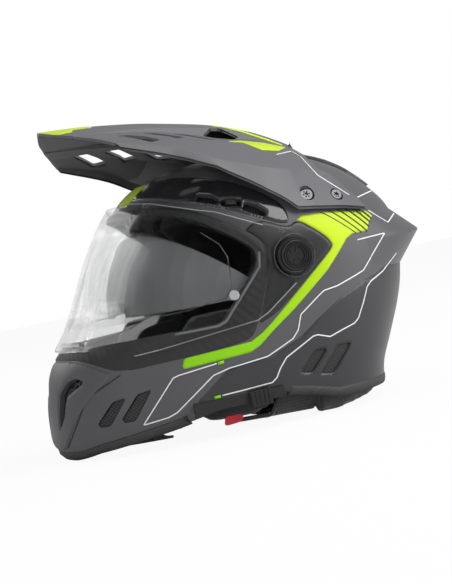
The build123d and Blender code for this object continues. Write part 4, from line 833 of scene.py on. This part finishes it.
def spoilerSurface(place):
    # v from 0 to 2 goes from the lower foot over the ridge to the upper foot; the ridge is softened a little.
    side = np.clip(place[:, 1], 0, 2) - 1
    t = np.sqrt(side * side + 0.0004)[:, None]
    lines = []
    for count, height in enumerate(spoiler["heights"]):
        rear, half, bend = spoiler["reach"], spoiler["half"], spoiler["bend"]
        if count != 1:
            rear, half = (size - spoiler["sink"] for size in levelAt(height, (2, 3)))
            bend = shell["rearBend"]
        x, y = superOval(place[:, 0] * 2 * np.pi, rear, rear, half, bend)
        lines.append(np.stack([x, y, np.full(len(x), height)], 1))
    foot = np.where(side[:, None] < 0, lines[0], lines[2])
    return lines[1] + (foot - lines[1]) * t


spoilerRegions = [lambda p: -shellGap(p)[0] - 0.4, lambda p: 84 - p[:, 1]]
spoilerForm = sheetPiece(
    "rearSpoiler", spoilerSurface, (0.02, 0.48), (0, 2), 2.0, spoilerRegions, "lacquerGrey", "shell_paint",
    ["rear_spoiler"], wall=3.0, edge=0.6, sharp=25,
)

# Exhaust cover on the crown, open at the rear
coverHalf = [(0, 90), (18, 90), (30, 108), (34, 135), (33, 190), (0, 190)]
coverPlan = np.array(coverHalf + [(-x, y) for x, y in reversed(coverHalf[1:-1])], float)
coverSides = np.array([(x, y if y < 150 else 260) for x, y in coverPlan])
coverForm = shellPlate(
    "topExhaustCover", [("plan", coverPlan, True), lambda p: 187 - p[:, 2]], 5.5, "lacquerGrey", "shell_paint",
    ["top_exhaust_cover"], cell=1.4, wall=1.8, edge=2.0, levels=(6, topLevel),
    edgeRegions=[("plan", coverSides, True)],
)
print("spoiler and cover made")


def turned(profile, origin, axis, count=64):
    # A profile of radius and height turned about an axis: place = origin + axis * h + r * (cos, sin).
    axis = np.array(axis, float) / np.linalg.norm(axis)
    side = np.cross(axis, [0, 0, 1.0])
    side /= np.linalg.norm(side)
    other = np.cross(axis, side)
    profile = np.array(profile, float)
    turn = np.linspace(0, 2 * np.pi, count + 1)
    ring = np.cos(turn)[:, None] * side + np.sin(turn)[:, None] * other
    points = np.array(origin) + profile[None, :, 1:2] * axis + profile[None, :, 0:1] * ring[:, None, :]
    return points.reshape(-1, 3), gridQuads(count + 1, len(profile))


# Pivot caps: turned covers with a rim and raised rings, fine ribs near the rim and a star in the middle
capProfile = [
    (0.01, -0.1), (16.5, -0.1), (16.5, 2.6), (15.8, 3.6), (15.0, 3.9), (14.2, 3.4), (13.6, 3.4), (13.2, 4.4),
    (12.6, 4.9), (11.9, 4.8), (11.6, 3.9), (11.0, 3.9), (10.6, 4.6), (10.0, 4.6), (9.6, 3.7), (9.0, 3.7),
    (8.6, 4.4), (8.0, 4.4), (7.7, 3.2), (0.01, 3.2),
]
bossProfile = [(18.0, 0.1), (19.0, 0.1), (19.0, 0.9), (18.7, 1.2), (18.3, 1.2), (18.0, 0.9), (18.0, 0.1)]
capBase = 133.55
ribTurns = np.linspace(0, 2 * np.pi, 72, endpoint=False)
capBlocks = {
    "Ribs": {"turns": ribTurns, "radius": 15.3, "wide": 0.35, "long": 0.9, "low": 2.8, "high": 4.3},
    "Star": {"turns": ribTurns[::12] + 0.2, "radius": 5.0, "wide": 0.9, "long": 2.2, "low": 2.8, "high": 3.9},
}
for sign, word in sides:
    start, axis = (sign * capBase, *pivot), (sign, 0, 0)
    replaced = ["pivot_caps"] if sign > 0 else []
    cap = turned(capProfile, start, axis)
    makePiece(f"pivotCap_{word}", *cap, "capNylon", "dark_plastic", replaced, "visor", close=True)
    boss = turned(bossProfile, start, axis)
    makePiece(f"visorBoss_{word}", *boss, "bondedEdge", "clear_visor", body="visor", close=True)
    for kind, block in capBlocks.items():
        middles = np.stack([np.cos(block["turns"]), np.sin(block["turns"])], 1)
        across = np.stack([-middles[:, 1], middles[:, 0]], 1)
        corners = [middles * (block["radius"] + a * block["long"]) + across * b * block["wide"] for a, b in square]
        flat = np.stack(corners, 1).reshape(-1, 2)
        layers = [np.column_stack([np.full(len(flat), block[height]), flat]) for height in ("low", "high")]
        points = np.concatenate(layers) * [sign, 1, 1] + start
        first = 4 * np.arange(len(middles))[:, None]
        faces = [first + [0, 1, 2, 3] + len(flat), first + [3, 2, 1, 0]]
        for low, after in ((0, 1), (1, 2), (2, 3), (3, 0)):
            faces.append(first + [low, after, after + len(flat), low + len(flat)])
        faces = np.concatenate(faces)
        makePiece(f"cap{kind}_{word}", points, faces, "capNylon", "dark_plastic", body="visor", close=True)
print("caps made")

# Painted graphics: patches and lines a hair proud of the lacquer
limeArea = np.array([
    (30, 170), (37, 173), (59, 172), (94, 168), (106, 166), (125, 149), (99, 149), (82, 149), (75, 146), (50, 123),
    (11, 95), (-9, 82), (-24, 71), (-33, 67), (-92, 64.5), (-89, 73.5), (-31, 76), (-20, 81.5), (-12, 87), (32, 121),
    (55, 138), (59, 142), (58, 144), (53, 150),
], float)
for side, word in sides:
    shellPlate(
        f"limeBand_{word}", [("side", limeArea, True), *without("side", seal, base)], 0.3, "lacquerLime",
        side=side, cell=1.4, edge=0.3, wall=0.3, sink=-0.15,
    )
darkArea = np.array([
    (-88, 22), (-82, 36), (-52, 59), (-10, 62), (14, 71), (34, 84), (58, 97), (88, 108), (100, 110), (128, 119),
    (240, 119), (240, 0), (-88, 0),
], float)
shellPlate(
    "charcoalPanel", [("side", darkArea, True), *without("side", belowEdge, *slots["rear"])], 0.25,
    "lacquerCharcoal", cell=2.4, edge=0.3, wall=0.3, sink=-0.1, levels=(0, 7),
)


def evenly(points, spacing=1.5, count=None):  # points at an even spacing along a path, or so many of them
    points = np.array(points, float)
    run = np.concatenate([[0], np.cumsum(np.linalg.norm(np.diff(points, axis=0), axis=1))])
    places = np.linspace(0, run[-1], count or max(int(run[-1] / spacing), 2) + 1)
    return np.stack([np.interp(places, run, column) for column in points.T], 1)


def halfAcross(path, normal, width):  # half a line's width, square to its path and to the surface's normal
    aside = np.cross(normal, np.gradient(path, axis=0))
    return aside * (width / 2 / np.linalg.norm(aside, axis=1, keepdims=True))


def inkLine(name, path, width, look, lift=0.5):
    # A painted line on both sides of the shell: a ribbon square to the surface's slope along a path.
    path = settled(evenly(path), lift)
    normal = shellGap(path, lift)[1]
    aside = halfAcross(path, normal / np.linalg.norm(normal, axis=1, keepdims=True), width)
    points = np.concatenate([settled(path + aside, lift), settled(path - aside, lift)])
    mirroredPiece(name, points, gridQuads(2, len(path)), look)


stripes = [(56, 173, 87), (65, 172.5, 93), (74, 172, 100), (83, 171, 107), (91, 170, 113), (98, 169, 119)]
for count, (y, z, lowY) in enumerate(stripes):
    inkLine(f"darkStripe_{count}", sideToShell([(y, z), (lowY, 148.5)]), 0.8 + 0.28 * count, "lacquerCharcoal")
whiteLines = {
    "middle": [
        (370.5, 257), (362.8, 270.4), (337, 285.7), (323.6, 290.5), (317.8, 296.2), (300.6, 314.4), (298, 330),
        (292.7, 338.7), (267.7, 356.3), (229.6, 368), (213.5, 375.3), (190, 399.6), (177.3, 412.6), (168.9, 417.5),
        (143.7, 425.2), (173.1, 378.2), (178.7, 375.4), (216.6, 363.5),
    ],
    "rear": [
        (382.9, 270.4), (370.5, 280.9), (366.7, 286.7), (362.8, 302.9), (358, 318.2), (354.2, 323),
        (341.8, 329.7), (330, 336.5), (317.5, 334.7), (313, 336.1), (286.3, 357.5), (280, 368.7), (276.8, 377.5),
        (272.3, 382.4), (222.3, 395.4),
    ],
}
for name, pixels in whiteLines.items():
    inkLine(f"whiteLine_{name}", photoToShell(pixels), 1.1, "lacquerWhite", 0.6)
inkLine("limeTab_upper", photoToShell([(218, 363.4), (223.8, 361.6)]), 2.6, "lacquerLime", 0.7)
inkLine("limeTab_lower", photoToShell([(214.6, 397.8), (220.6, 396.2)]), 2.4, "lacquerLime", 0.7)


def treeOf(*forms):  # a tree that rays can hit, over forms of points and quads
    starts = np.cumsum([0] + [len(points) for points, quads in forms])
    quads = np.concatenate([quads + start for (points, quads), start in zip(forms, starts)])
    return BVHTree.FromPolygons(np.concatenate([points for points, quads in forms]).tolist(), quads.tolist())


seenTree = treeOf(shellForm, spoilerForm, coverForm)


def inkOn(name, line, width, look, tree=seenTree, lift=0.45, side=False, **settings):
    # A strip on both sides where rays meet the parts: rays through photo pixels, or level rays from the
    # wearer's left for a line in side view.
    line = evenly(line, 1.4)
    facing, rays, starts = back, raysThrough(line), np.tile(eye, (len(line), 1))
    if side:
        facing = np.array([1.0, 0, 0])
        rays = np.tile(-facing, (len(line), 1))
        starts = np.column_stack([np.full(len(line), 300.0), line])
    hits = [tree.ray_cast(Vector(start), Vector(ray)) for start, ray in zip(starts, rays)]
    path, normal = (np.array([hit[k] for hit in hits if hit[0]]) for k in (0, 1))
    normal *= np.sign(normal @ facing)[:, None]
    aside = halfAcross(path, normal, width)
    points = np.concatenate([path + aside, path - aside]) + np.tile(normal * lift, (2, 1))
    quads = gridQuads(2, len(path))
    first, second, fourth = points[quads[0, [0, 1, 3]]]
    if np.cross(second - first, fourth - first) @ normal[0] < 0:
        quads = quads[:, ::-1]
    mirroredPiece(name, points, quads, look, **settings)


# A dark line along the beak's seam with the shell: painted shade in the crease.
inkOn("beakSeamShade", [(120.4, 375.3), (86.7, 398.8), (68.4, 448)], 0.8, "mattBlack")
whiteStrips = {
    "cover": [(357, 197.5), (371.2, 190.9)],
    "wing": [(368, 210.5), (387.7, 222.5), (395.4, 211)],
    "fin": [(357.1, 239.8), (384.4, 233.1), (370.5, 257)],
    "tail": [(396, 253), (382.9, 270.4)],
}
for name, line in whiteStrips.items():
    inkOn(f"whiteLine_{name}", line, 1.1, "lacquerWhite")
visorTree = treeOf(visorForm)
# Pale lines along the visor's lower edge and its crest: painted highlights.
visorStrips = {
    "visorEdge": [
        (74, 346), (112, 359.5), (121, 359.7), (177, 345.7), (219, 332.8), (255, 322.5), (269, 312), (305, 273.5),
    ],
    "visorCrest": [(118, 204.5), (150, 203.8), (193, 209.6), (215, 212), (263, 225)],
}
for name, line in visorStrips.items():
    inkOn(name, line, 0.9, "edgeHighlight", visorTree, 0.25, slot="clear_visor", body="visor")
insertSide = [(-100, 112.8), (-49, 112.8), (-39, 125.5), (-37, 157.5), (-60, 184.8), (-85, 187)]
insertTree = treeOf(insertForm)
inkOn("insertBead", insertSide, 0.8, "bondedEdge", insertTree, 0.15, True, slot="clear_insert", body="visor")
# A pale strip along the port's edge on the gasket's bead: a painted highlight.
portSide = [(-92, 94.9), (-56, 94.9), (-49.5, 97.3), (-12.5, 137.5), (-10, 150)]
inkOn("gasketLipHighlight", portSide, 2.2, "gasketLipHighlight", treeOf(gasketForm), 0.2, True, slot="seal_rubber")
print("shell graphics made")

# Lime tip and tail and a white line on the peak, the same on both sides
tipLine = np.array([(-1, -150), (34, -141), (26, -122), (14, -118), (10, -98), (-1, -98)], float)


def tipGap(p):  # outside the tip's outline in plan, on either side
    return edgeDistance(np.column_stack([np.abs(p[:, 0]), p[:, 1]]), tipLine)


sheetPiece(
    "limeTip", peakSurface, (-5, 5), peakRows, 1.6, [tipGap, *peakRegions], "lacquerLime", "peak_paint",
    shift=(0, 0, 0.3), wall=0.5,
)
peakTree = treeOf((peakPoints, peakQuads))
peakLine = [(276.5, 154.6), (291.2, 151.3), (300.5, 156.8), (317.8, 175.5), (349, 195)]
inkOn("whiteLine_peak", peakLine, 1.1, "lacquerWhite", peakTree, 0.35, slot="peak_paint")


def tailPatch(name, upper, lower, rowCount=9, count=60, lift=0.3, longest=40):
    # A painted patch on both sides: rays through pixels between two lines meet the peak, row by row. Quads
    # with a side longer than longest bridge an opening and are left out.
    rows = np.linspace(0, 1, rowCount)[:, None, None]
    upper, lower = evenly(upper, count=count), evenly(lower, count=count)
    rays = raysThrough((upper * (1 - rows) + lower * rows).reshape(-1, 2))
    hits = [peakTree.ray_cast(Vector(eye), Vector(ray)) for ray in rays]
    found = np.array([hit[0] is not None for hit in hits])
    points, normal = (np.array([hit[k] if hit[0] else (0, 0, k) for hit in hits]) for k in (0, 1))
    normal *= np.sign(normal @ back)[:, None]
    quads = gridQuads(rowCount, count)
    lengths = np.linalg.norm(points[quads] - points[np.roll(quads, 1, 1)], axis=2)
    quads = quads[found[quads].all(1) & (lengths.max(1) < longest)]
    used, flat = np.unique(quads, return_inverse=True)
    mirroredPiece(name, (points + normal * lift)[used], flat.reshape(-1, 4), "lacquerLime", "peak_paint")


tailPatch(
    "limeTailPatch", [(228, 141.3), (240.6, 140.8), (263.6, 142.9), (285, 147.3)],
    [(229, 141.7), (242.9, 142.9), (262, 150.2), (278.9, 150.9), (285, 148)],
)
tailPatch(
    "limeTailEdge", [(212, 125.6), (221, 126.2), (240, 130.2), (268, 139.4), (282, 144.8)],
    [(212, 126.4), (221, 127.4), (240, 131.8), (268, 141), (282, 145.8)],
)

# The peak's underside: a copy of the peak just below it in a darker grey, painted shade where the underside lies in
# shadow
underPoints = peakPoints + [0, 0, -peak["thickness"] - 0.15]
makePiece("peakUnderside", underPoints, peakQuads, "peakUnderShade", "peak_paint", wall=0.3)

# Carried-over solids with better finishes
carried = {
    "turnedSteel": ["peak_screws", "peak_nuts", "strap_anchors", "lever_pin"],
    "mattBlack": [
        "sun_visor_pivots", "slider_rail", "sun_visor_slider", "buckle_housing", "ratchet_tongue", "buckle_lever",
    ],
    "mouldedMesh": ["mouth_vent_mesh_left", "mouth_vent_mesh_right"],
    "pinAcetal": ["insert_pins"],
    "beadFoam": ["eps_liner", "chin_eps"],
    "smokeCarbonate": ["sun_visor"],
}
for look, nodes in carried.items():
    for node in nodes:
        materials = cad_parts[node].data.materials
        materials.clear()
        materials.append(looks[look])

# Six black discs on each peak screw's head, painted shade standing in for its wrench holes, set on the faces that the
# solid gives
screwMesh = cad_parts["peak_screws"].data
screwTree = BVHTree.FromPolygons(
    (meshPoints(screwMesh) / metre).tolist(), [list(polygon.vertices) for polygon in screwMesh.polygons]
)
spots = []
rim = np.linspace(0, 2 * np.pi, 10, endpoint=False)[:, None]
for start, axis, radius in screwAxes:
    sideways = np.cross(axis, [0, 0, 1.0])
    sideways /= np.linalg.norm(sideways)
    upwards = np.cross(sideways, axis)
    ring = (np.cos(rim) * sideways + np.sin(rim) * upwards) * radius * 0.13
    for turn in np.arange(6) * np.pi / 3:
        place = start + axis * 30 + (sideways * math.cos(turn) + upwards * math.sin(turn)) * radius * 0.45
        hit = screwTree.ray_cast(Vector(place), Vector(-axis))[0]
        if hit is not None:
            spots.append(np.array(hit) + axis * 0.08 + ring)
spotPoints = np.concatenate(spots)
spotFaces = np.arange(len(spotPoints)).reshape(-1, 10)
mirroredPiece("screwHoleShade", spotPoints, spotFaces, "mattBlack", "screw_steel", wall=0.05)

# Padded pieces: the solid's mesh remeshed, drawn in, blown up by cloth pressure and capped in its travel
cheek = {"voxel": 4.5, "shrink": 2.0, "push": 4.0, "cap": 4.0, "fill": 0.7, "look": "brushedKnit"}
pads = {
    "crown_pad": {
        "name": "crownPad", "voxel": 5.0, "shrink": 1.0, "push": 4.0, "cap": 2.5, "fill": 0.5, "look": "brushedKnit",
    },
    "cheek_pad_left": {"name": "cheekPadLeft", **cheek},
    "cheek_pad_right": {"name": "cheekPadRight", **cheek},
    "neck_roll": {
        "name": "neckRoll", "voxel": 4.5, "shrink": 1.5, "push": 4.0, "cap": 3.0, "fill": 0.6, "look": "airMesh",
    },
}


def finalMesh(piece):  # the mesh that the modifiers give
    return bpy.data.meshes.new_from_object(piece.evaluated_get(bpy.context.evaluated_depsgraph_get()))


def paddedForm(node, pad):
    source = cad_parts[node]
    mesh = source.data.copy()
    mesh.transform(source.matrix_world)
    piece = newObject(pad["name"], mesh)
    remesh = piece.modifiers.new("remesh", "REMESH")
    remesh.mode = "VOXEL"
    remesh.voxel_size = pad["voxel"] * metre
    remesh.use_smooth_shade = True
    piece.data = finalMesh(piece)
    piece.modifiers.clear()
    start = meshPoints(piece.data)
    floorLow = start[:, 2].min()
    normals = np.empty(len(start) * 3)
    piece.data.vertices.foreach_get("normal", normals)
    start = start - normals.reshape(-1, 3) * pad["shrink"] * metre
    piece.data.vertices.foreach_set("co", start.ravel())
    cloth = piece.modifiers.new("cloth", "CLOTH")
    cloth.settings.use_pressure = True
    cloth.settings.uniform_pressure_force = pad["push"]
    cloth.settings.effector_weights.gravity = 0
    for number in range(1, 21):
        scene.frame_set(number)
    travel = meshPoints(finalMesh(piece)) - start
    length = np.linalg.norm(travel, axis=1, keepdims=True)
    start = start + travel * np.minimum(1, pad["cap"] * metre / np.maximum(length, 1e-9))
    piece.modifiers.clear()
    scene.frame_set(1)
    start[:, 2] = np.maximum(start[:, 2], floorLow)
    if node == "neck_roll":  # its underside rises towards the back of the neck
        rise = np.interp(start[:, 1] / metre, (45, 70, 90, 105, 125), (0, 3, 6, 12, 17)) * metre
        start[:, 2] += rise * np.clip(1 - start[:, 2] / (34 * metre), 0, 1)
    piece.data.vertices.foreach_set("co", start.ravel())
    piece.data.materials.clear()
    piece.data.materials.append(looks[pad["look"]])
    piece.data.shade_smooth()
    subdivision = piece.modifiers.new("smooth", "SUBSURF")
    subdivision.levels = 1
    subdivision.render_levels = 1
    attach(piece, "helmet")
    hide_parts(node)
    print("pad made:", node, len(start))


for node, pad in pads.items():
    paddedForm(node, pad)

# Curtain under the chin: a thin stretched panel from the shell's lip inwards
curtain = {"outer": 7.2, "inner": 40.2, "height": 8.6, "lift": 1.2, "sag": 1.0}


def curtainSurface(place):
    # u a share of a turn, v from the outer to the inner edge; the panel sags by a half sine between them.
    front, rear, half = levelAt(curtain["height"])
    inset = curtain["outer"] + (curtain["inner"] - curtain["outer"]) * place[:, 1]
    long = 1 - 2 * inset / shell["length"]
    x, y = superOval(2 * np.pi * place[:, 0], front * long, rear * long, half * (1 - inset / shell["half"]))
    z = curtain["height"] + curtain["lift"] - curtain["sag"] * np.sin(np.pi * place[:, 1])
    return np.stack([x, y, z], 1)


place, quads = trimmedSheet(curtainSurface, (-0.48, -0.02), (0, 1), 3.0, [ahead(-104.6)])
panel = makePiece(
    "chinCurtain", curtainSurface(place), quads, "airMesh", "liner_fabric", ["chin_curtain"], wall=2.4, edge=0.8,
)

skirt = {  # stations of y, then four points x, z from the trim's inside down and inwards under the cheek
    "stations": [
        (-46, 99, 8.6, 93, 7.9, 86, 7.4, 78, 7.8), (-24, 99, 7.6, 93, 6.6, 86, 6.1, 78, 6.6),
        (-15, 101, 9.5, 94, 6.6, 86, 5.4, 78, 6), (-9, 109, 24, 103, 14, 92, 6.4, 78, 5),
        (8, 111, 28, 104, 15, 92, 6, 78, 4), (27, 110, 27, 104, 14, 92, 5, 78, 3),
    ],
    "thick": 2.6,
}


def skirtSurface(place):
    # u across the four points, v along the stations, both smoothed through their points.
    rows = smoothRows(skirt["stations"], place[:, 1] * 5)
    sections = rows[:, 1:].reshape(-1, 4, 2)
    along = place[:, 0] * 3
    low = np.clip(along.astype(int), 0, 2)
    pick = np.arange(len(rows))
    four = (sections[pick, k] for k in (np.maximum(low - 1, 0), low, low + 1, np.minimum(low + 2, 3)))
    flat = cubic(*four, (along - low)[:, None])
    return np.stack([flat[:, 0], rows[:, 0], flat[:, 1]], 1)


for sign, word in sides:
    panel = gridPiece(
        f"neckSkirt_{word}", lambda place: skirtSurface(place) * [sign, 1, 1], (28, 60), "airMesh", "liner_fabric",
        uRange=(0, 1)[::sign], vRange=(0, 0.9999), wall=skirt["thick"], edge=0.4,
    )

strap = {"middle": -1, "width": 19.6, "thick": 1.5, "rows": 60}
strapNear = [(115, 63), (113, 44), (106, 27), (96, 16), (82, 11), (66, 10.4)]
strapLines = {"Left": strapNear, "Right": [(-x, z) for x, z in strapNear[:-1]] + [(-20, 10.4)]}


def webbing(name, path, replaces):
    # Flat webbing along a path in front view: a flattened superellipse swept with the path's own slope.
    path = smoothRows(path, np.linspace(0, len(path) - 1, strap["rows"]))
    along = np.gradient(path, axis=0)
    along /= np.linalg.norm(along, axis=1, keepdims=True)

    def surface(place):
        pick = np.round(place[:, 0] * (strap["rows"] - 1)).astype(int)
        around = 2 * np.pi * place[:, 1]
        across = strap["width"] / 2 * np.sign(np.cos(around)) * np.abs(np.cos(around)) ** 0.25
        out = strap["thick"] / 2 * np.sign(np.sin(around)) * np.abs(np.sin(around)) ** 0.5
        normal = np.stack([-along[pick, 1], along[pick, 0]], 1)
        flat = path[pick] + normal * out[:, None]
        return np.stack([flat[:, 0], strap["middle"] + across, flat[:, 1]], 1)

    gridPiece(name, surface, (strap["rows"], 33), "nylonWebbing", "strap_webbing", replaces, close=True)


for word, line in strapLines.items():
    webbing(f"strap{word}", line, [f"chin_strap_{word.lower()}"])
tabLine = rounded([(-62, 8), (-60, 15), (-52, 21), (-44, 21), (-44, 9)], 2, 0.15)


def tabSurface(place, x):  # the flat release tab stands beside the trim
    return np.column_stack([np.full(len(place), x), place])


place, quads = trimmedSheet(lambda place: tabSurface(place, 102.4), (-63, -43), (7, 22), 0.8, [("side", tabLine, True)])
for sign, word in sides:
    makePiece(
        f"releaseTab_{word}", tabSurface(place, sign * 102.4), quads[:, ::sign], "redWebbing", "red_tab",
        [f"cheek_release_tab_{word}"], wall=2.3, edge=0.6,
    )
print("soft pieces made")


def seenDirectly(tree):  # 1 for rays from the camera or on through a clear part, otherwise 0
    path = addNode(tree, "ShaderNodeLightPath").outputs
    either = {0: path["Is Camera Ray"], 1: path["Is Transmission Ray"]}
    return addNode(tree, "ShaderNodeMath", {"operation": "MAXIMUM"}, either).outputs[0]


# Pale floor, soft lamps and a pale world
scene.view_settings.view_transform = "Standard"
scene.cycles.caustics_reflective = False
scene.cycles.caustics_refractive = False
floorLook = bpy.data.materials.new("paleFloor")
floorLook.use_nodes = True
tree = floorLook.node_tree
matt = tree.nodes["Principled BSDF"]
matt.inputs["Base Color"].default_value = (0.82, 0.82, 0.82, 1)
matt.inputs["Roughness"].default_value = 1.0
glow = addNode(tree, "ShaderNodeEmission", {"Color": (1, 1, 1, 1)})
share = addNode(tree, "ShaderNodeMath", {"operation": "MULTIPLY", 1: 0.93}, {0: seenDirectly(tree)})
both = addNode(tree, "ShaderNodeMixShader", {}, {0: share.outputs[0], 1: matt.outputs[0], 2: glow.outputs[0]})
tree.links.new(both.outputs[0], tree.nodes["Material Output"].inputs["Surface"])
floorMesh = bpy.data.meshes.new("floor")
floorMesh.from_pydata([(4 * a, 4 * b, -0.0005) for a, b in square], [], [(0, 1, 2, 3)])
floorMesh.materials.append(floorLook)
floor = newObject("floor", floorMesh)
floor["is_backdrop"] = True
world = bpy.data.worlds.new("studio")
scene.world = world
world.use_nodes = True
tree = world.node_tree
soft = addNode(tree, "ShaderNodeMapRange", {"To Min": 0.42, "To Max": 1.0}, {"Value": seenDirectly(tree)})
tree.nodes["Background"].inputs["Color"].default_value = (1, 1, 1, 1)
tree.links.new(soft.outputs["Result"], tree.nodes["Background"].inputs["Strength"])
lamps = {
    "keyLamp": {"place": (1.3, 1.0, 1.3), "size": 1.2, "power": 19},
    "topLamp": {"place": (0.1, 0.9, 1.8), "size": 1.4, "power": 13},
    "rearLamp": {"place": (0.9, 1.6, 0.5), "size": 1.0, "power": 9},
    "frontLamp": {"place": (1.2, -1.5, 0.9), "size": 1.2, "power": 5},
    "farLamp": {"place": (-1.5, -0.6, 1.0), "size": 1.2, "power": 5},
}
for name, lamp in lamps.items():
    light = bpy.data.lights.new(name, "AREA")
    light.size = lamp["size"]
    light.energy = lamp["power"]
    holder = newObject(name, light)
    holder.location = lamp["place"]
    aim = np.array([0, 0, 0.13]) - np.array(lamp["place"])
    flatRun = math.hypot(aim[0], aim[1])
    holder.rotation_euler = (math.atan2(flatRun, -aim[2]), 0, math.atan2(aim[1], aim[0]) - math.pi / 2)
print("camera, floor and lamps made")

corners = [[list(map(float, corner)) for corner in box] for box in (cadBox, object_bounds())]
